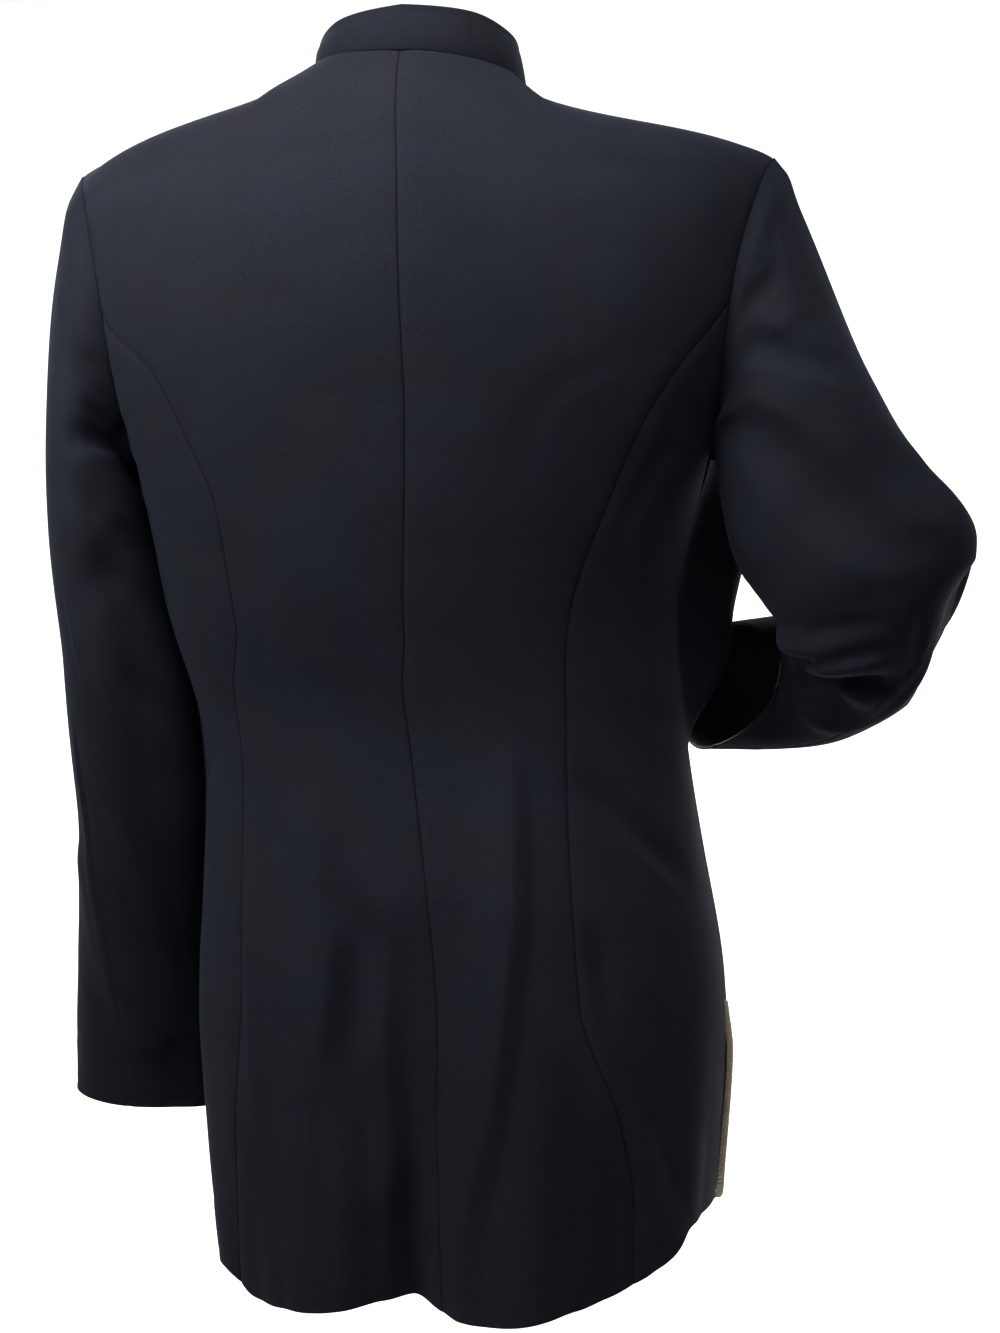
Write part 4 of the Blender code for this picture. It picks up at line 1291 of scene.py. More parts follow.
    def surface(self, face: Face, share: Array, level: Array) -> Array:
        """The face that shows, with its main folds, its creases and a little unevenness.

        Folds and creases fade out toward the side seam above the slit, and creases at the top edge and the
        slit's edges too. The front's slit edge stands out below the slit's top.

        Args:
            face: The face.
            share: -1 at the right edge, 1 at the left.
            level: From the hem to 0 at the top edge.

        Returns:
            The points.
        """
        scale = (self.share_length, 1.0)
        side = 1 - np.abs(share)
        above = smooth((level - self.slit_top) / SLIT_EASE)
        held = 1 + (smooth(side / SIDE_EASE) - 1) * above
        rise = np.zeros_like(share)
        for fold in self.folds[face.value]:
            rise += fold.height(share, level, scale)
        worn = lifted(self.creases[face.value], share, level, scale)
        worn += unevenness(share * self.share_length, level, self.uneven, self.seeds[face.value])
        calm = 1 - (1 - above) * (1 - smooth(side / SLIT_SIDE_EASE))
        rise = rise * held + worn * held * smooth(-level / TOP_EASE) * calm
        if face is Face.FRONT:
            below = smooth((self.slit_top - level) / FLARE_OPENS)
            rise += np.where(share < 0, *self.flare) * below * smooth((FLARE_SHARE - side) / FLARE_SHARE)
        return self.base(face, share, level) + self.outward(face, share, level) * rise[:, None]

    def through(self, face: Face, share: Array, level: Array) -> Array:
        """The way through the cloth, which pieces that meet at an angle share along their seam.

        It is straight through, but near the shoulder seam it turns to the mean of both faces' ways, at the
        neckline to the ring's middle, and round the armhole to one point inside the body.

        Args:
            face: The face.
            share, level: The places on it.

        Returns:
            A direction for each.
        """
        inward = -self.outward(face, share, level)
        size = np.abs(share)
        other_face = Face(1 - face.value)
        neck, other_neck = self.neck_share[face.value], self.neck_share[other_face.value]
        along = np.clip((size - neck) / (1 - neck), 0, 1)
        other = np.sign(share) * (other_neck + along * (1 - other_neck))
        opposite = np.zeros((len(level), 3))
        top = level > -TOP_BAND
        if top.any():
            opposite[top] = -self.outward(other_face, other[top], np.zeros(int(top.sum())))
        points = self.base(face, share, level)
        axis = unit(np.stack([-points[:, 0], self.neck.middle() - points[:, 1], 0 * level], axis=1))
        near_top = np.clip(1 + level / TOP_BAND, 0, 1)
        on_shoulder = np.clip((size - neck + NECK_TURN / 2) / NECK_TURN, 0, 1)
        met = opposite * on_shoulder[:, None] + axis * (1 - on_shoulder)[:, None]
        inward = unit(inward + met * near_top[:, None])
        above = np.clip((level - self.underarm + ARM_BAND) / ARM_BAND, 0, 1)
        for side, _ in SIDES:
            near = (smooth((share * side - ARM_START) / ARM_TURN) * above)[:, None]
            aimed = unit(np.array(self.aim) * np.array([side, 1.0, 1.0]) - points)
            inward = inward * (1 - near) + aimed * near
        return unit(inward)

    def seam(self, seam: Seam, side: int, level: Array) -> Array:
        """Where a seam runs, as a share of the face, no further out than the edge.

        Args:
            seam: The seam.
            side: 1 for the left, -1 for the right, where the line is the same on both.
            level: The levels.

        Returns:
            A share for each level.
        """
        if seam is Seam.SIDE:
            return np.full_like(level, float(side))
        if seam is Seam.OPENING:
            return np.full_like(level, side * 1e-6)
        rows = np.array(self.seam_rows)
        return np.clip(curve_through(rows[:, 0], rows[:, seam.value], level), -1.0, 1.0)

    def per_metre(self, face: Face, share: Array, level: Array) -> Array:
        """How much share one metre of cloth takes, at a place."""
        step = 0.01
        inner = np.where(share > 0, share - step, share + step)
        span = self.base(face, share, level) - self.base(face, inner, level)
        return step / np.linalg.norm(span, axis=1)

    def armhole(self, side: int) -> tuple[Array, Array]:
        """An armhole's edge, down its back and up its front.

        Args:
            side: 1 for the left, -1 for the right.

        Returns:
            Its points and the way through the cloth at each, the last just before the first.
        """
        levels = np.linspace(0.0, self.underarm, 121)
        share = np.full(len(levels), float(side))
        found = []
        for make in (self.surface, self.through):
            back, front = make(Face.BACK, share, levels), make(Face.FRONT, share, levels[::-1])
            found.append(np.concatenate([back, front[1:]])[:-1])
        return found[0], found[1]


@dataclass(frozen=True)
class Panel:
    """One cut piece of the body.

    Attributes:
        node, cut: Its name and its flat size.
        face: The face it is cut from.
        side: 1 for the wearer's left, -1 for the right.
        inner, outer: The lines nearer the middle of the face and nearer its side.
        top: The level it ends at.
        columns, rows: Even steps across and up.
        slit_cut, opening_cut: What a slit's edge and a front edge lose.
        corner: The radius of its lower outer corner, 0 where it is square.
        gap: Left at a seam, below 0 where the pieces overlap a little.
    """

    node: str
    face: Face
    side: int
    inner: Seam
    outer: Seam
    top: float
    columns: int
    rows: int
    cut: Cut
    slit_cut: float = 1.5 * MM
    corner: float = 0.0
    gap: float = -0.50 * MM
    opening_cut: float = 0.5 * MM

    def _loss(self, form: BodyForm, seam: Seam, level: Array) -> Array:
        """What an edge loses to its neighbour, in metres: more along an opening or below a slit's top.

        Args:
            form: The body.
            seam: The line that the edge is on.
            level: The places on it.

        Returns:
            A loss for each.
        """
        sewn = np.full_like(level, self.gap / 2)
        if seam is Seam.OPENING:
            return np.full_like(level, self.opening_cut)
        if seam is Seam.SIDE:
            return sewn + (self.slit_cut - sewn) * smooth((form.slit_top - level) / 0.006)
        return sewn

    def _grid(self, form: BodyForm) -> tuple[Array, Array]:
        """The share and level of each point, rows by columns.

        Rows run up from the hem, and columns out from the inner line, each close together at its ends. Where
        the corner is round, the rows below the slit's top are squeezed up as the hem rises to the slit's edge
        on a quarter circle.

        Args:
            form: The body.

        Returns:
            The shares, and the levels.
        """
        level = graded(form.hem, self.top - self.gap / 2, self.rows, SEAM_BAND)
        low, high = form.seam(self.inner, self.side, level), form.seam(self.outer, self.side, level)
        way = float(self.side)
        at_low = form.per_metre(self.face, low + way * 1e-6, level)
        at_high = form.per_metre(self.face, high, level)
        low = low + way * self._loss(form, self.inner, level) * at_low
        high = high - way * self._loss(form, self.outer, level) * at_high
        width = np.abs(high - low) / ((at_low + at_high) / 2)
        outer_band = np.array(CORNER_BAND if self.corner else SEAM_BAND)
        inner_band = np.array(SEAM_BAND)
        fit = np.minimum(1.0, 0.8 * width / (outer_band[-1] + inner_band[-1]))[:, None]
        left = low[:, None] + way * inner_band * fit * at_low[:, None]
        right = high[:, None] - way * outer_band[::-1] * fit * at_high[:, None]
        even = np.linspace(0, 1, self.columns + 1)[1:-1]
        middle = left[:, -1:] + (right[:, :1] - left[:, -1:]) * even
        share = np.concatenate([left, middle, right], axis=1)
        levels = np.repeat(level[:, None], share.shape[1], axis=1)
        if self.corner:
            away = np.abs(high[:, None] - share) / at_high[:, None]
            inside = np.clip(self.corner - away, 0, self.corner)
            lowest = form.hem + self.corner - np.sqrt(self.corner**2 - inside**2)
            squeezed = lowest + (levels - form.hem) * (form.slit_top - lowest) / (form.slit_top - form.hem)
            levels = np.where(levels < form.slit_top, squeezed, levels)
        return share, levels

    def build(self, form: BodyForm) -> None:
        """Makes the piece, its hem and a front edge turned and its other edges sewn.

        Args:
            form: The body.
        """
        share, level = self._grid(form)
        outer, through = (
            make(self.face, share.ravel(), level.ravel()).reshape(share.shape + (3,))
            for make in (form.surface, form.through)
        )
        uv = np.stack([share * form.share_length, level], axis=2)
        inner = Edge.TURNED if self.inner is Seam.OPENING else Edge.SEWN
        dress(self.node, self.cut, Shell(outer, through, uv, (Edge.TURNED, Edge.SEWN, inner, Edge.SEWN)))


# ---- The collar ----

# Creases in metres round the band and up it.
COLLAR_CREASES = (
    Crease((4, 5), ((0.03, 0.002, 0), (0.036, 0.014, -0.5), (0.034, 0.026, 0))),
    Crease((4, 4), ((-0.052, 0.003, 0), (-0.046, 0.015, -0.6), (-0.05, 0.027, 0))),
)


@dataclass(frozen=True)
class Collar:
    """The stand collar, one band of doubled cloth.

    Attributes:
        node, cut: Its name and its flat size.
        half_width, back, front: Size of its top edge, the front below 0.
        front_gap: Degrees of the ring open at the front.
        corner, corner_drop: Radians over which its front corners are rounded, and the share of height lost.
        belly: How far its middle stands out.
        tuck: Millimetres that its lower edge goes under the seam, and further at the shoulders.
        thickness: Of the band.
        reach, rise: About the ring's radius and the band's height, for its measures.
        bands: The same, for its close rows and columns at the edges.
        columns, rows: Even steps round it and up it.
        uneven, seed: The depth of its unevenness, and what turns it.
    """

    node: str = "collar"
    half_width: float = 0.0625
    back: float = 0.050
    front: float = -0.070
    front_gap: float = 1.4
    corner: float = 0.35
    corner_drop: float = 0.28
    belly: float = 1.2 * MM
    tuck: Pair = (0.60, 3.2)
    thickness: float = 2.5 * MM
    reach: float = 0.067
    rise: float = 0.030
    bands: Pair = (0.065, 0.028)
    columns: int = 300
    rows: int = 16
    uneven: float = 0.30 * MM
    seed: float = 0.4
    cut: Cut = Cut(0.430, 0.040, 0.0130, ("back_left", "back_right", "front_left", "front_right"))

    def build(self, form: BodyForm) -> None:
        """Makes the band.

        Each point is on a straight line from the seam up to the top edge, pushed out by a belly of the sine
        of its climb and by a little unevenness. The lower edge is tucked under the seam, and more at the
        shoulders by the squared sine of the angle.

        Args:
            form: The body.
        """
        end = np.pi - math.radians(self.front_gap) / 2
        around = graded(-end, end, self.columns, np.array(SEAM_BAND) / self.bands[0])
        up = graded(0.0, 1.0, self.rows, np.array(SEAM_BAND) / self.bands[1])
        angle, climb = (part.ravel() for part in np.meshgrid(around, up))
        corner = smooth((np.pi - np.abs(angle)) / self.corner)
        climb = climb * (1 - self.corner_drop * (1 - corner))
        low = form.settling.apply(form.neck.seam(angle))
        low[:, 2] -= (self.tuck[0] + self.tuck[1] * np.sin(angle) ** 2) * MM
        high = form.neck.around(angle, self.half_width, self.back, self.front, 2)
        points = low + (high - low) * climb[:, None]
        middle = np.array([0.0, form.neck.middle(), 0.0])
        inward = unit((middle - points) * np.array([1.0, 1.0, 0.0]))
        u, v = angle * self.reach, climb * self.rise
        push = self.belly * np.sin(np.pi * climb) + unevenness(u, v, self.uneven, self.seed)
        push += lifted(COLLAR_CREASES, u, v, (1.0, 1.0))
        shape = (len(up), len(around), -1)
        outer, inward = (part.reshape(shape) for part in (points - inward * push[:, None], inward))
        edges = (Edge.SEWN, Edge.TURNED, Edge.TURNED, Edge.TURNED)
        shell = Shell(outer, inward, np.stack([u, v], axis=1).reshape(shape), edges, self.thickness)
        dress(self.node, self.cut, shell)


# ---- The sleeves ----


@dataclass(frozen=True)
class Ring:
    """One section of a sleeve.

    Attributes:
        along: 0 at the armhole, 1 at the cuff.
        x, y, z: Its centre.
        half_wide, half_deep: Half its width across, and front to back.
        lag: How far its back side is drawn up the arm, as a share of half_deep.
        skew: How far its inner side is drawn up the arm, as a share of half_wide.
        saddle: How far its inner and outer sides are let down and the two between drawn up, as a share too.
    """

    along: float
    x: float
    y: float
    z: float
    half_wide: float
    half_deep: float
    lag: float = 0.0
    skew: float = 0.0
    saddle: float = 0.0


# The sections of each sleeve, its main folds, and its creases, in turns round the arm and shares along it.
LEFT_RINGS = (
    Ring(0.2, 0.2133, 0.004, -0.285, 0.0328, 0.073),
    Ring(0.34, 0.2065, 0.006, -0.37, 0.0345, 0.067),
    Ring(0.5, 0.2045, -0.002, -0.46, 0.0375, 0.059),
    Ring(0.75, 0.2085, -0.02, -0.575, 0.0455, 0.047, 0.06),
    Ring(1, 0.217, -0.036, -0.671, 0.048, 0.039, 0.12),
)
RIGHT_RINGS = (
    Ring(0.2, -0.234, 0.008, -0.228, 0.05, 0.064),
    Ring(0.36, -0.253, 0.018, -0.286, 0.063, 0.058),
    Ring(0.52, -0.276, 0.024, -0.324, 0.068, 0.052),
    Ring(0.66, -0.274, 0.002, -0.367, 0.048, 0.05),
    Ring(0.77, -0.25, -0.03, -0.39, 0.037, 0.046, 0, 0.1),
    Ring(0.88, -0.222, -0.048, -0.398, 0.036, 0.044, -0.2, 0.4),
    Ring(1, -0.1798, -0.06, -0.402, 0.037, 0.041, -0.01, 1.3, -0.14),
)
LEFT_FOLDS = (
    Fold((0.2, 0.16), (0.32, 0.17), 0.02, (-0.001, -0.002)),
    Fold((0.2, 0.28), (0.34, 0.24), 0.024, (-0.001, -0.003)),
    Fold((0.12, 0.58), (0.3, 0.86), 0.026, (0.002, 0.004)),
)
RIGHT_FOLDS = (
    Fold((0.22, 0.56), (0.44, 0.6), 0.026, (0.002, 0.012)),
    Fold((0.3, 0.72), (0.46, 0.7), 0.024, (-0.006, -0.018)),
)
LEFT_CREASES = (
    Crease((44, 44), ((0.48, 0.2, 0), (0.475, 0.31, 7), (0.47, 0.4, 14), (0.47, 0.49, 13), (0.475, 0.6, 6),
        (0.48, 0.72, 0))),
    Crease((42, 42), ((0.47, 0.78, 0), (0.462, 0.89, 4), (0.455, 1.01, 8))),
    Crease((8, 8), ((0.195, 0.055, 0), (0.255, 0.046, -3), (0.33, 0.012, -1.6))),
    Crease((9, 9), ((0.205, 0.082, 0), (0.29, 0.066, 2.6), (0.36, 0.034, 1))),
    Crease((12, 14), ((0.215, 0.125, 0), (0.285, 0.112, -4.4), (0.362, 0.087, -4.8), (0.435, 0.045, 0))),
    Crease((14, 17), ((0.26, 0.152, 0), (0.32, 0.184, -2.2), (0.385, 0.216, -2.6), (0.45, 0.26, 0))),
    Crease((14, 16), ((0.3, 0.235, 0), (0.365, 0.262, -2.2), (0.45, 0.305, 0))),
    Crease((12, 17), ((0.32, 0.335, 0), (0.385, 0.382, -3.6), (0.44, 0.43, 0))),
    Crease((7, 9), ((0.19, 0.245, 0), (0.207, 0.31, 2), (0.232, 0.375, 0))),
    Crease((7, 8), ((0.06, 0.048, 0), (0.12, 0.052, 1.6), (0.19, 0.056, 0))),
    Crease((20, 13), ((0.215, 0.4, 0), (0.272, 0.505, 3.4), (0.322, 0.605, 4), (0.35, 0.69, 2.6),
        (0.36, 0.78, 0)), 0.15),
    Crease((2.6, 2.6), ((0.16, 0.4, 0), (0.166, 0.46, -0.9), (0.17, 0.52, -1), (0.188, 0.6, -1),
        (0.217, 0.7, -0.9), (0.235, 0.85, -0.7), (0.245, 1.01, -0.7)), 0.4),
    Crease((9, 6), ((0.146, 0.38, 0), (0.153, 0.46, 1.6), (0.157, 0.52, 1.9), (0.175, 0.6, 1.8),
        (0.204, 0.7, 1.3), (0.225, 0.85, 0))),
    Crease((14, 16), ((0.1, 0.75, 0), (0.18, 0.8, -1.2), (0.29, 0.82, 0))),
    Crease((12, 15), ((0.9, 0.18, 0), (0.82, 0.24, -3.2), (0.74, 0.27, 0))),
    Crease((11, 16), ((0.87, 0.42, 0), (0.78, 0.45, -4.4), (0.68, 0.44, 0))),
    Crease((12, 13), ((0.88, 0.49, 0), (0.8, 0.52, -3.4), (0.7, 0.53, 0))),
    Crease((12, 13), ((0.6, 0.42, 0), (0.56, 0.48, -2), (0.52, 0.56, 0))),
)
RIGHT_CREASES = (
    Crease((40, 40), ((0.48, 0.01, 3), (0.476, 0.1, 6), (0.474, 0.22, 6), (0.476, 0.33, 4.5),
        (0.48, 0.45, 0))),
    Crease((42, 42), ((0.06, 0.54, 0), (0.072, 0.59, -11.5), (0.095, 0.64, -10), (0.14, 0.7, 0))),
    Crease((11, 12), ((0.275, 0.022, 0), (0.222, 0.04, -2.8), (0.178, 0.056, -3.2), (0.11, 0.064, 0))),
    Crease((12, 12), ((0.262, 0.066, 0), (0.2, 0.094, 2), (0.1, 0.106, 0))),
    Crease((16, 18), ((0.292, 0.046, 0), (0.258, 0.088, -4.4), (0.217, 0.132, -5), (0.165, 0.166, -2.6),
        (0.11, 0.184, 0))),
    Crease((24, 28), ((0.4, 0.15, 0), (0.35, 0.21, -4.4), (0.28, 0.3, -6), (0.24, 0.39, -6),
        (0.215, 0.455, -5), (0.11, 0.52, 0))),
    Crease((12, 14), ((0.425, 0.06, 0), (0.438, 0.18, 2.2), (0.444, 0.3, 2.4), (0.44, 0.4, 0))),
    Crease((16, 18), ((0.06, 0.29, 0), (0.05, 0.4, 3), (0.058, 0.5, 0))),
    Crease((9, 22), ((0.48, 0.74, 0), (0.42, 0.66, 5.5), (0.371, 0.624, 9), (0.308, 0.606, 8.5),
        (0.225, 0.6, 0)), 0.35),
    Crease((19, 12), ((0.46, 0.79, 0), (0.4, 0.71, -8.5), (0.345, 0.664, -13), (0.285, 0.648, -11),
        (0.235, 0.645, 0))),
    Crease((11, 12), ((0.43, 0.596, 0), (0.37, 0.566, -3), (0.312, 0.556, -3.4), (0.225, 0.562, 0))),
    Crease((7, 8), ((0.198, 0.545, 0), (0.202, 0.59, -2.4), (0.212, 0.632, 0))),
    Crease((16, 18), ((0.41, 0.78, 0), (0.36, 0.772, 2), (0.315, 0.756, 2), (0.27, 0.73, 0))),
    Crease((2.8, 2.8), ((0.13, 0.585, 0), (0.158, 0.603, -1), (0.196, 0.617, -1.1), (0.24, 0.636, -1.1),
        (0.262, 0.67, -1.1), (0.268, 0.72, -1), (0.262, 0.8, -0.8), (0.256, 0.9, -0.8),
        (0.25, 1.01, -0.8)), 0.4),
    Crease((9, 10), ((0.135, 0.61, 0), (0.172, 0.642, 2.4), (0.212, 0.682, 2), (0.225, 0.74, 0))),
    Crease((5, 6), ((0.075, 0.036, 0), (0.098, 0.049, 1.3), (0.118, 0.068, 0))),
    Crease((12, 15), ((0.88, 0.15, 0), (0.8, 0.22, -3.4), (0.74, 0.3, 0))),
    Crease((13, 16), ((0.8, 0.42, 0), (0.7, 0.45, -5.4), (0.6, 0.47, 0))),
    Crease((13, 16), ((0.82, 0.53, 0), (0.72, 0.54, -5.4), (0.62, 0.56, 0))),
    Crease((12, 14), ((0.78, 0.64, 0), (0.69, 0.64, -4), (0.6, 0.65, 0))),
    Crease((12, 14), ((0.9, 0.7, 0), (0.82, 0.76, -2.6), (0.76, 0.83, 0))),
)


@dataclass(frozen=True)
class Sleeve:
    """A set-in sleeve of one piece, shaped by a seam from elbow to cuff.

    Attributes:
        node, cut: Its name and its flat size.
        side: 1 for the wearer's left, -1 for the right.
        rings: Its sections, shoulder to cuff.
        folds, creases: Its main folds and its creases of wear.
        slopes: How its slopes lean, as round a bent elbow or not past its sections.
        head_drop, under_drop: How steeply it leaves the shoulder and the underarm.
        head_spread: How far its head spreads to front and back as it leaves the armhole.
        root: Where the arm starts, on the left.
        girth, length: Metres of cloth in one turn, and from armhole to cuff.
        around_steps, along_steps: Steps round the arm, and even steps along it.
        uneven, seed: The depth of its unevenness, and what turns it.
        roll, roll_at, roll_width: The height of the head's roll, and how far down it is and how wide.
        tuck, tuck_end: How far its top edge goes inside the armhole's, and the share along where that ends.
        turn_end: The share along where the way through its cloth no longer follows the armhole's.
    """

    node: str
    side: int
    rings: tuple[Ring, ...]
    folds: tuple[Fold, ...]
    creases: tuple[Crease, ...]
    slopes: Callable[[Array, Array], Array]
    head_drop: float
    cut: Cut
    under_drop: float = 0.6
    head_spread: float = 0.35
    root: Triple = (0.205, 0.0, -0.150)
    girth: float = 0.34
    length: float = 0.60
    around_steps: int = 190
    along_steps: int = 172
    uneven: float = 0.9 * MM
    seed: float = 2.6
    roll: float = 2.2 * MM
    roll_at: float = 11 * MM
    roll_width: float = 9 * MM
    tuck: float = 0.30 * MM
    tuck_end: float = 0.01
    turn_end: float = 0.04

    def _table(self, *names: str) -> list[Array]:
        """Columns of numbers of the sections."""
        return [np.array([getattr(ring, name) for ring in self.rings])[:, None] for name in names]

    def _sections(self, turn: Array) -> Array:
        """Points of the sections: slanted ovals, a row for each section and a column for each turn.

        Their outer and back directions are square to the arm and turn with it without twist.

        Args:
            turn: The turns round the arm.

        Returns:
            The points.
        """
        centres = np.concatenate(self._table("x", "y", "z"), axis=1)
        start = np.array([self.root]) * np.array([self.side, 1.0, 1.0])
        along = unit(np.gradient(np.concatenate([start, centres]), axis=0)[1:])
        outward = np.array([self.side * 1.0, 0.0, 0.0])
        outers = []
        for direction in along:
            outward = unit(outward - (outward @ direction) * direction)
            outers.append(outward)
        outers = np.array(outers)
        backs = np.cross(along, outers) * -self.side
        backs = backs * np.sign(backs[0][1])
        wide, deep, lag, skew, saddle = self._table("half_wide", "half_deep", "lag", "skew", "saddle")
        out, back = np.cos(2 * np.pi * turn), np.sin(2 * np.pi * turn)
        slant = skew * wide * out - lag * deep * back + saddle * wide * np.cos(4 * np.pi * turn)
        parts = ((outers, wide * out), (backs, deep * back), (along, slant))
        return centres[:, None] + sum(way[:, None] * size[:, :, None] for way, size in parts)

    def _edge(self, form: BodyForm, turn: Array) -> tuple[Array, Array]:
        """The armhole's edge and the way through its cloth, at each turn by the share of its length.

        Args:
            form: The body.
            turn: The turns round the arm.

        Returns:
            The points, and the ways.
        """
        points, walls = (np.concatenate([part, part[:1]]) for part in form.armhole(self.side))
        half = (len(points) - 1) // 2
        length = lengths(points)
        first = 0.5 * length[: half + 1] / length[half]
        second = 0.5 + 0.5 * (length[half:] - length[half]) / (length[-1] - length[half])
        turns = np.concatenate([first, second[1:]])
        return straight(turn, turns, points), unit(straight(turn, turns, walls))

    def _base(self, edge: Array, turn: Array, along: Array) -> Array:
        """The sleeve without folds: cubics down the arm through the same turn of armhole and sections.

        Args:
            edge: The armhole's point at each turn.
            turn: The turns round the arm.
            along: The places along it.

        Returns:
            Points, a row for each place along and a column for each turn.
        """
        rings = self._sections(turn)
        knots = np.array([0.0] + [ring.along for ring in self.rings])
        values = np.concatenate([edge[None], rings])
        slopes = self.slopes(knots, values)
        reach = np.linalg.norm(rings[0] - edge, axis=1, keepdims=True) / knots[1]
        under = (1 - np.cos(2 * np.pi * turn)) / 2
        drop = self.head_drop * (1 - under) + self.under_drop * under
        spread = self.head_spread * np.sin(2 * np.pi * turn)
        slopes[0] = unit(np.stack([np.full_like(turn, float(self.side)), spread, -drop], axis=1)) * reach
        column = np.tile(np.arange(len(turn)), len(along))
        places = np.repeat(along, len(turn))
        return cubic(knots, values, slopes, places, column).reshape(len(along), len(turn), 3)

    def _rise(self, turn: Array, along: Array) -> Array:
        """How far folds, creases, the rolled head and unevenness push the cloth out.

        Args:
            turn, along: The grid's turns and its places along.

        Returns:
            The heights, rows by columns.
        """
        turns, alongs = (part.ravel() for part in np.meshgrid(turn, along))
        scale = (self.girth, self.length)
        rise = np.zeros_like(turns)
        for fold in self.folds:
            rise += fold.height(turns, alongs, scale)
        worn = lifted(self.creases, turns, alongs, scale)
        angle = 2 * np.pi * turns
        radius = self.girth / 6.28
        round_u, round_w = np.cos(angle) * radius, np.sin(angle) * radius
        down = alongs * self.length
        worn += unevenness(round_u + round_w, down + 0.4 * round_w, self.uneven, self.seed)
        over = smooth((np.cos(angle) + 0.35) / 1.2)
        roll = self.roll * over * hill(down, self.roll_at, self.roll_width)
        return (rise + (worn + roll) * smooth(alongs / 0.02)).reshape(len(along), len(turn))

    def build(self, form: BodyForm) -> None:
        """Makes the sleeve, its head a little inside the armhole's edge and its cuff turned.

        Args:
            form: The body.
        """
        turn = np.linspace(0, 1, self.around_steps + 1)[:-1]
        along = graded(0.0, 1.0, self.along_steps, np.array(SEAM_BAND) / self.length)
        edge, wall = self._edge(form, turn)
        points = self._base(edge, turn, along)
        down = np.gradient(points, axis=0)
        around = np.roll(points, -1, axis=1) - np.roll(points, 1, axis=1)
        out = unit(np.cross(around, down))
        out = out * np.sign(((points - points.mean(axis=1, keepdims=True)) * out).sum(axis=2).mean())
        outer = points + out * self._rise(turn, along)[:, :, None]
        outer -= unit(down[:1]) * self.tuck * (1 - smooth(along / self.tuck_end))[:, None, None]
        near = np.clip(1 - along / self.turn_end, 0, 1)[:, None, None]
        through = unit(-out * (1 - near) + wall[None] * near)
        uv = np.stack(np.meshgrid(np.append(turn, 1.0) * self.girth, along * self.length), axis=2)
        edges = (Edge.SEWN, Edge.TURNED, Edge.SEWN, Edge.SEWN)
        dress(self.node, self.cut, Shell(outer, through, uv, edges, closed=True))


# ---- The cord ----


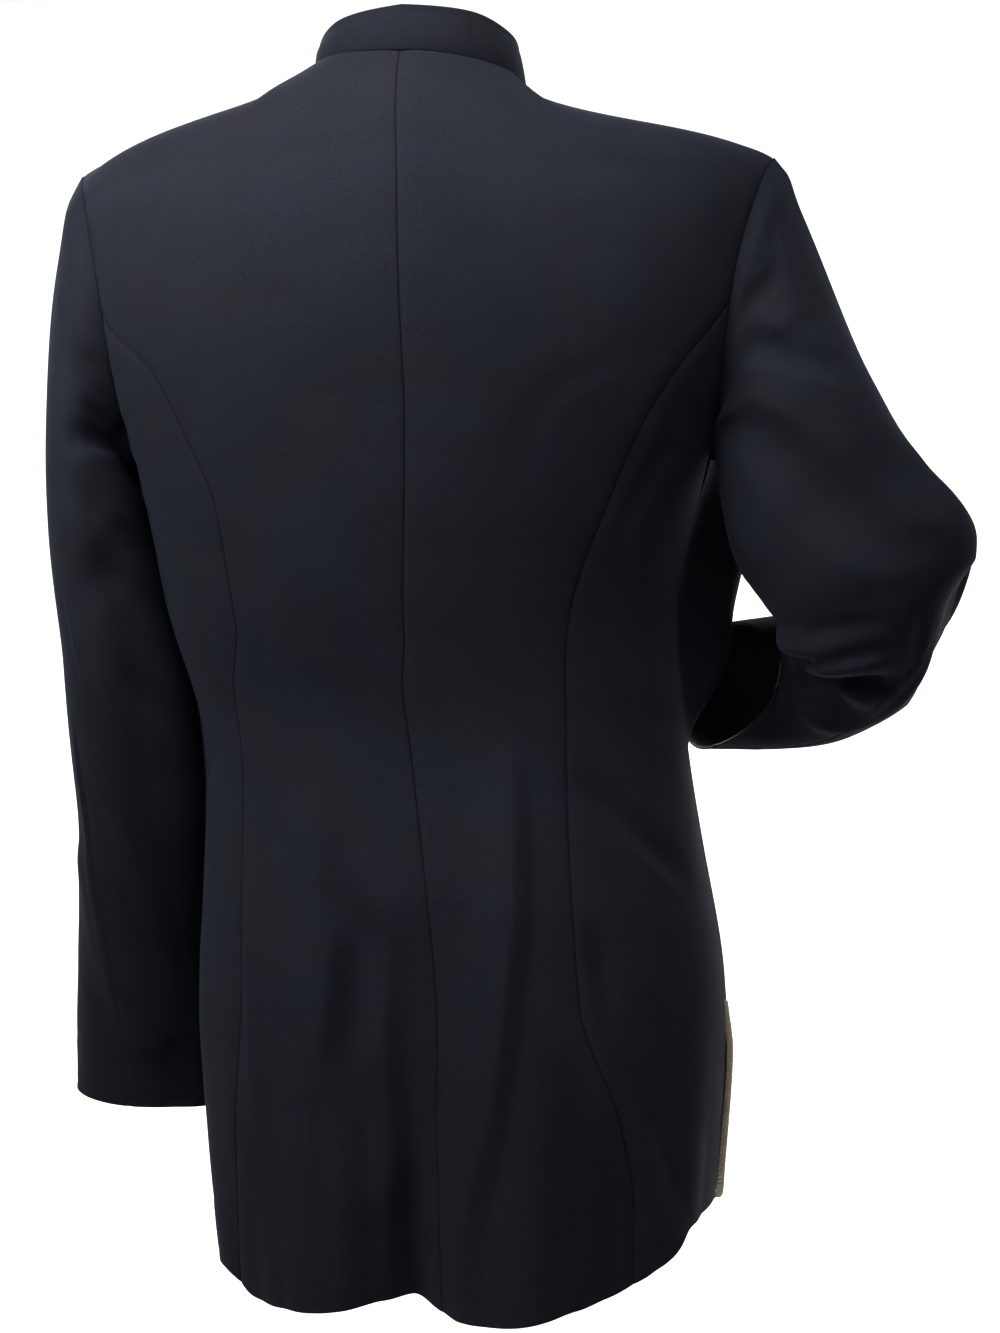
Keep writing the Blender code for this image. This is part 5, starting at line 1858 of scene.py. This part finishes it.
@dataclass(frozen=True)
class EdgeCord:
    """The twisted cord sewn along the front's slit edge, round its corner and along its hem.

    Attributes:
        node: Its name.
        side: 1 for the wearer's left, -1 for the right.
        radius, gap: Half its thickness, and the gap to the cloth's edge.
        corner, wall: The radius of the cloth's lower corner, and its thickness.
        slit_spread: Between the two edges of the slit at its top.
        hem_end: The share of the front's hem left bare at the front edge.
        strands, lay: How many strands are twisted together, and the length of one full twist.
        sides, step: Corners round one strand, and the length between its rows of points.
        out, thick: How far out a strand's middle is, and half its thickness, as shares of the radius.
        tip, tip_end: The length over which a strand thins at its ends, and the share of it left there.
        below: How far under the slit's top it starts.
    """

    node: str
    side: int
    radius: float = 2.2 * MM
    gap: float = 0.6 * MM
    corner: float = 0.022
    slit_spread: float = 3.0 * MM
    hem_end: float = 0.008
    strands: int = 3
    lay: float = 10.5 * MM
    sides: int = 10
    step: float = 0.62 * MM
    out: float = 0.46
    thick: float = 0.56
    tip: float = 1.6 * MM
    tip_end: float = 0.25
    below: float = 6.0 * MM
    wall: float = 1.8 * MM

    def slit_cut(self) -> float:
        """What the cloth's edge beside the slit gives up to the cord."""
        return self.slit_spread / 2 + 2 * self.radius + self.gap

    def _route(self, form: BodyForm) -> Array:
        """The centre line: down beside the slit, a quarter circle round the corner, and along the hem.

        Args:
            form: The body.

        Returns:
            Its points.
        """
        offset = self.radius + self.gap
        around = self.corner + offset
        down = np.linspace(form.slit_top - self.below - self.gap, form.hem + self.corner, 60)
        bend = np.linspace(0, math.pi / 2, 26)[1:]
        level = np.concatenate([down, form.hem + self.corner - around * np.sin(bend)])
        away = np.concatenate([np.full(len(down), -offset), self.corner - around * np.cos(bend)])
        edge = np.full_like(level, float(self.side))
        per_metre = form.per_metre(Face.FRONT, edge, level)
        share = edge - self.side * (self.slit_cut() + away) * per_metre
        along = np.linspace(share[-1], self.side * self.hem_end, 90)[1:]
        share = np.concatenate([share, along])
        level = np.concatenate([level, np.full(len(along), form.hem - offset)])
        inward = form.through(Face.FRONT, share, level)
        return form.surface(Face.FRONT, share, level) + inward * self.wall / 2

    def _line(self, form: BodyForm) -> Array:
        """The centre line with its points an even step apart, each the mean of those near it.

        Args:
            form: The body.

        Returns:
            Its points.
        """
        line = self._route(form)
        length = lengths(line)
        line = straight(np.linspace(0, length[-1], int(length[-1] / self.step) + 1), length, line)
        half = 7
        padded = np.concatenate([np.repeat(line[:1], half, axis=0), line, np.repeat(line[-1:], half, axis=0)])
        kernel = np.ones(2 * half + 1) / (2 * half + 1)
        return np.stack([np.convolve(padded[:, axis], kernel, "valid") for axis in range(3)], axis=1)

    def build(self, form: BodyForm, finish: GoldTwist) -> None:
        """Makes the cord.

        Each strand winds round the centre line at a little under half the cord's radius, and is a round tube
        of a little over half of it. Its ends taper to a small flat cap.

        Args:
            form: The body.
            finish: The twist's finish.
        """
        line = self._line(form)
        way = unit(np.gradient(line, axis=0))
        normal = upright_to(np.cross(way, np.array([0.0, 1.0, 0.0])), way)
        other = np.cross(way, normal)
        length = lengths(line)
        turn = np.linspace(0, 2 * np.pi, self.sides + 1)[:-1]
        taper = smooth(np.minimum(length, length[-1] - length) / self.tip) * (1 - self.tip_end) + self.tip_end
        tubes, quads, marks = [], [], []
        for strand in range(self.strands):
            wind = 2 * np.pi * (length / self.lay + strand / self.strands)
            radial = normal * np.cos(wind)[:, None] + other * np.sin(wind)[:, None]
            centre = line + radial * (self.out * self.radius * taper)[:, None]
            ahead = unit(np.gradient(centre, axis=0))
            out = upright_to(radial, ahead)
            sideways = np.cross(ahead, out)
            circle = out[:, None] * np.cos(turn)[:, None] + sideways[:, None] * np.sin(turn)[:, None]
            tube = centre[:, None] + circle * (self.thick * self.radius * taper)[:, None, None]
            quad, mark = self._faces(length)
            tubes.append(tube.reshape(-1, 3))
            quads.append(quad + strand * len(tubes[0]))
            marks.append(mark)
        faces = np.concatenate(quads)
        kinds = np.zeros(len(faces), int)
        piece = mesh_object(self.node + "_twist", np.concatenate(tubes), faces, np.concatenate(marks), kinds)
        piece.data.materials.append(finish.make(self.node + "_gold"))
        stand_for(piece, self.node)
        log.info("%s: %.3f m long, %d faces", piece.name, length[-1], len(piece.data.polygons))

    def _faces(self, length: Array) -> tuple[Array, Array]:
        """The faces of one strand and the uv of their corners, its ends closed by strips across them.

        Args:
            length: How far along each row of its points is.

        Returns:
            The corners of each face, and their uv.
        """
        rows, sides = len(length), self.sides
        index = looped(np.arange(rows * sides).reshape(rows, sides))
        uv = np.stack(np.meshgrid(np.linspace(0, 1, sides + 1), length), axis=2)
        quads, marks = [cell_rows(index)], [cell_rows(uv)]
        step = np.arange(sides // 2 - 1)
        for row, way in ((0, 1), (rows - 1, -1)):
            ends = (step, sides - 1 - step, sides - 2 - step, step + 1)
            quads.append(np.stack([index[row, end] for end in ends], axis=1)[:, ::way])
            marks.append(np.zeros((len(step), 4, 2)) + uv[row, 0])
        return np.concatenate(quads), np.concatenate(marks)


# ---- The studio ----


@dataclass(frozen=True)
class SoftLight:
    """A large soft light.

    Attributes:
        name: Its name.
        place, target: Where it hangs and what it faces.
        width, height: Of its panel.
        power: In watts.
        spread: Degrees over which its louvres let the light out.
    """

    name: str
    place: Triple
    target: Triple
    width: float
    height: float
    power: float
    spread: float = 180.0

    def build(self) -> None:
        """Hangs the light."""
        lamp = bpy.data.lights.new(self.name, "AREA")
        lamp.shape = "RECTANGLE"
        lamp.size, lamp.size_y = self.width, self.height
        lamp.energy = self.power
        lamp.spread = math.radians(self.spread)
        thing = placed(self.name, lamp)
        thing.location = self.place
        away = Vector(self.target) - Vector(self.place)
        thing.rotation_euler = away.to_track_quat("-Z", "Y").to_euler()
        thing.visible_camera = False


@dataclass(frozen=True)
class Studio:
    """A pale bowl-shaped floor and backdrop, soft lights and the camera.

    Attributes:
        floor: Height of the floor, as far under the neck as a wearer's feet.
        flat, rim, wall: Radius of its flat part and of its wall, and height of its wall.
        distance, height: Of the camera, from the jacket's upright axis and from the neck.
        azimuth: Degrees the camera stands to the wearer's right of straight behind.
        pitch, roll: Degrees it looks down, and the picture is turned.
        aside: How far the axis is left of the picture's middle, over the focal length.
        lens: Focal length in millimetres on a 36 mm tall picture.
        world, sky: Brightness and colour of the surroundings.
        lights: The lights.
    """

    floor: float = -1.45
    flat: float = 4.2
    rim: float = 6.2
    wall: float = 5.0
    distance: float = 1.50
    height: float = -0.243
    azimuth: float = 10.0
    pitch: float = 5.3
    roll: float = 1.7
    aside: float = 0.027
    lens: float = 63.09
    world: float = 0.03
    sky: Triple = (0.96, 0.98, 1.0)
    lights: tuple[SoftLight, ...] = (
        SoftLight("key", (0.520, 0.500, 0.240), (0.0, 0.0, -0.25), 0.50, 0.50, 9.3),
        SoftLight("overhead", (-0.12, 0.43, 0.66), (0.0, 0.0, -0.10), 0.50, 0.50, 11.0),
        SoftLight("fill", (-1.302, 0.474, 0.470), (0.0, 0.0, -0.20), 0.80, 0.80, 1.3),
        SoftLight("backdrop", (0.0, -1.4, 2.9), (0.0, -4.4, -1.0), 3.0, 1.4, 215.0, 100.0),
        SoftLight("front", (1.1, -2.3, 0.7), (0.0, 0.0, -0.4), 1.20, 1.20, 26.0),
    )

    def build(self) -> None:
        """Makes the floor, the lights, the surroundings and the camera."""
        self._bowl()
        for light in self.lights:
            light.build()
        world = bpy.data.worlds.new("surroundings")
        world.use_nodes = True
        sky = world.node_tree.nodes["Background"]
        sky.inputs["Color"].default_value = (*self.sky, 1.0)
        sky.inputs["Strength"].default_value = self.world
        bpy.context.scene.world = world
        bpy.context.scene.view_settings.view_transform = "Standard"
        self._camera()

    def _bowl(self) -> None:
        """A flat floor that turns up into a wall on a quarter circle, carried round the upright axis."""
        sweep = np.linspace(0, np.pi / 2, 17)[1:]
        bend = self.rim - self.flat
        ground = np.concatenate([[0.02], np.linspace(0.5, self.flat, 7)])
        radius = np.concatenate([ground, self.flat + bend * np.sin(sweep), [self.rim]])
        height = np.concatenate([0 * ground, bend * (1 - np.cos(sweep)), [self.wall]])
        turn = np.linspace(0, 2 * np.pi, 97)[:-1]
        x, y = radius[:, None] * np.cos(turn), radius[:, None] * np.sin(turn)
        points = np.stack([x, y, self.floor + height[:, None] + 0 * x], axis=2)
        index = looped(np.arange(x.size).reshape(x.shape))
        mesh = bpy.data.meshes.new("floor")
        faces = cell_rows(index).tolist() + [index[0, :-1][::-1].tolist()]
        mesh.from_pydata(points.reshape(-1, 3).tolist(), [], faces)
        mesh.shade_smooth()
        mesh.materials.append(PaleFloor().make("pale_floor"))
        placed("floor", mesh)

    def _camera(self) -> None:
        """Stands the camera behind the jacket, a little to the wearer's right."""
        turn, pitch, roll = (math.radians(angle) for angle in (self.azimuth, self.pitch, self.roll))
        yaw = math.atan(self.aside)
        place = np.array([-self.distance * math.sin(turn), self.distance * math.cos(turn), self.height])
        toward = np.array([math.sin(turn), -math.cos(turn), 0.0])
        right = np.array([-math.cos(turn), -math.sin(turn), 0.0])
        toward, right = rotated(toward, right, yaw)
        ahead, above = rotated(toward, np.array([0.0, 0.0, 1.0]), -pitch)
        side, above = rotated(right, above, -roll)
        lens = bpy.data.cameras.new("camera")
        lens.lens = self.lens
        lens.sensor_width = 36.0
        lens.clip_start, lens.clip_end = 0.05, 60.0
        camera = placed("camera", lens)
        columns = np.stack([side, above, -ahead, place], axis=1)
        camera.matrix_world = Matrix(np.concatenate([columns, [[0.0, 0.0, 0.0, 1.0]]]).tolist())
        bpy.context.scene.camera = camera


def rotated(first: Array, second: Array, angle: float) -> tuple[Array, Array]:
    """Two square directions turned in their plane, the first toward the second."""
    along, aside = math.cos(angle), math.sin(angle)
    return first * along + second * aside, second * along - first * aside


# ---- The jacket ----


def body_panels(slit_cut: float, corner: float) -> tuple[Panel, ...]:
    """The eight pieces of the body, with their flat sizes.

    A row below makes a left and a right piece, and None stands for that side's princess seam. The side pieces
    end just under the level at which the princess seams reach the armholes.

    Args:
        slit_cut: What the front's slit edge gives up to the cord.
        corner: The radius of the front's lower corner.

    Returns:
        The pieces.
    """
    junction = -0.1504
    backs, fronts = ("back_left", "back_right"), ("front_left", "front_right")
    centre_back, side_back = Cut(0.250, 0.800, 0.1150, fronts), Cut(0.170, 0.640, 0.0600, backs)
    centre_front, side_front = Cut(0.250, 0.760, 0.1150, backs), Cut(0.170, 0.640, 0.0570, fronts)
    rows = (
        ("back_", Face.BACK, Seam.CENTRE_BACK, None, 0.0, (62, 62), 232, centre_back, ()),
        ("side_back_", Face.BACK, None, Seam.SIDE, junction, (42, 50), 190, side_back, ()),
        ("front_", Face.FRONT, Seam.OPENING, None, 0.0, (62, 62), 222, centre_front, ()),
        ("side_front_", Face.FRONT, None, Seam.SIDE, junction, (36, 36), 186, side_front, (slit_cut, corner)),
    )
    princess = {Face.BACK: (Seam.BACK_LEFT, Seam.BACK_RIGHT), Face.FRONT: (Seam.FRONT_LEFT, Seam.FRONT_RIGHT)}
    return tuple(
        Panel(node + word, face, side, inner or line, outer or line, top, columns, steps, cut, *slit)
        for node, face, inner, outer, top, across, steps, cut, slit in rows
        for (side, word), line, columns in zip(SIDES, princess[face], across)
    )


def sleeves() -> tuple[Sleeve, Sleeve]:
    """The two sleeves: the left hangs, and the right is bent with its forearm toward the waist."""
    left, right = (Cut(0.400, 0.620, 0.1650, ("back_" + word, "front_" + word)) for _, word in SIDES)
    return (
        Sleeve("sleeve_left", 1, LEFT_RINGS, LEFT_FOLDS, LEFT_CREASES, rising, 1.9, left),
        Sleeve("sleeve_right", -1, RIGHT_RINGS, RIGHT_FOLDS, RIGHT_CREASES, flowing, 2.0, right),
    )


def main() -> None:
    """Builds the jacket and its studio in order."""
    logging.basicConfig(level=logging.INFO, format="%(name)s: %(message)s")
    Studio().build()
    form = BodyForm()
    cords = [EdgeCord("cord_" + word, side) for side, word in SIDES]
    for cord in cords:
        cord.build(form, GoldTwist())
    for panel in body_panels(cords[0].slit_cut(), cords[0].corner):
        panel.build(form)
    Collar().build(form)
    for sleeve in sleeves():
        sleeve.build(form)


if __name__ == "__main__":
    main()
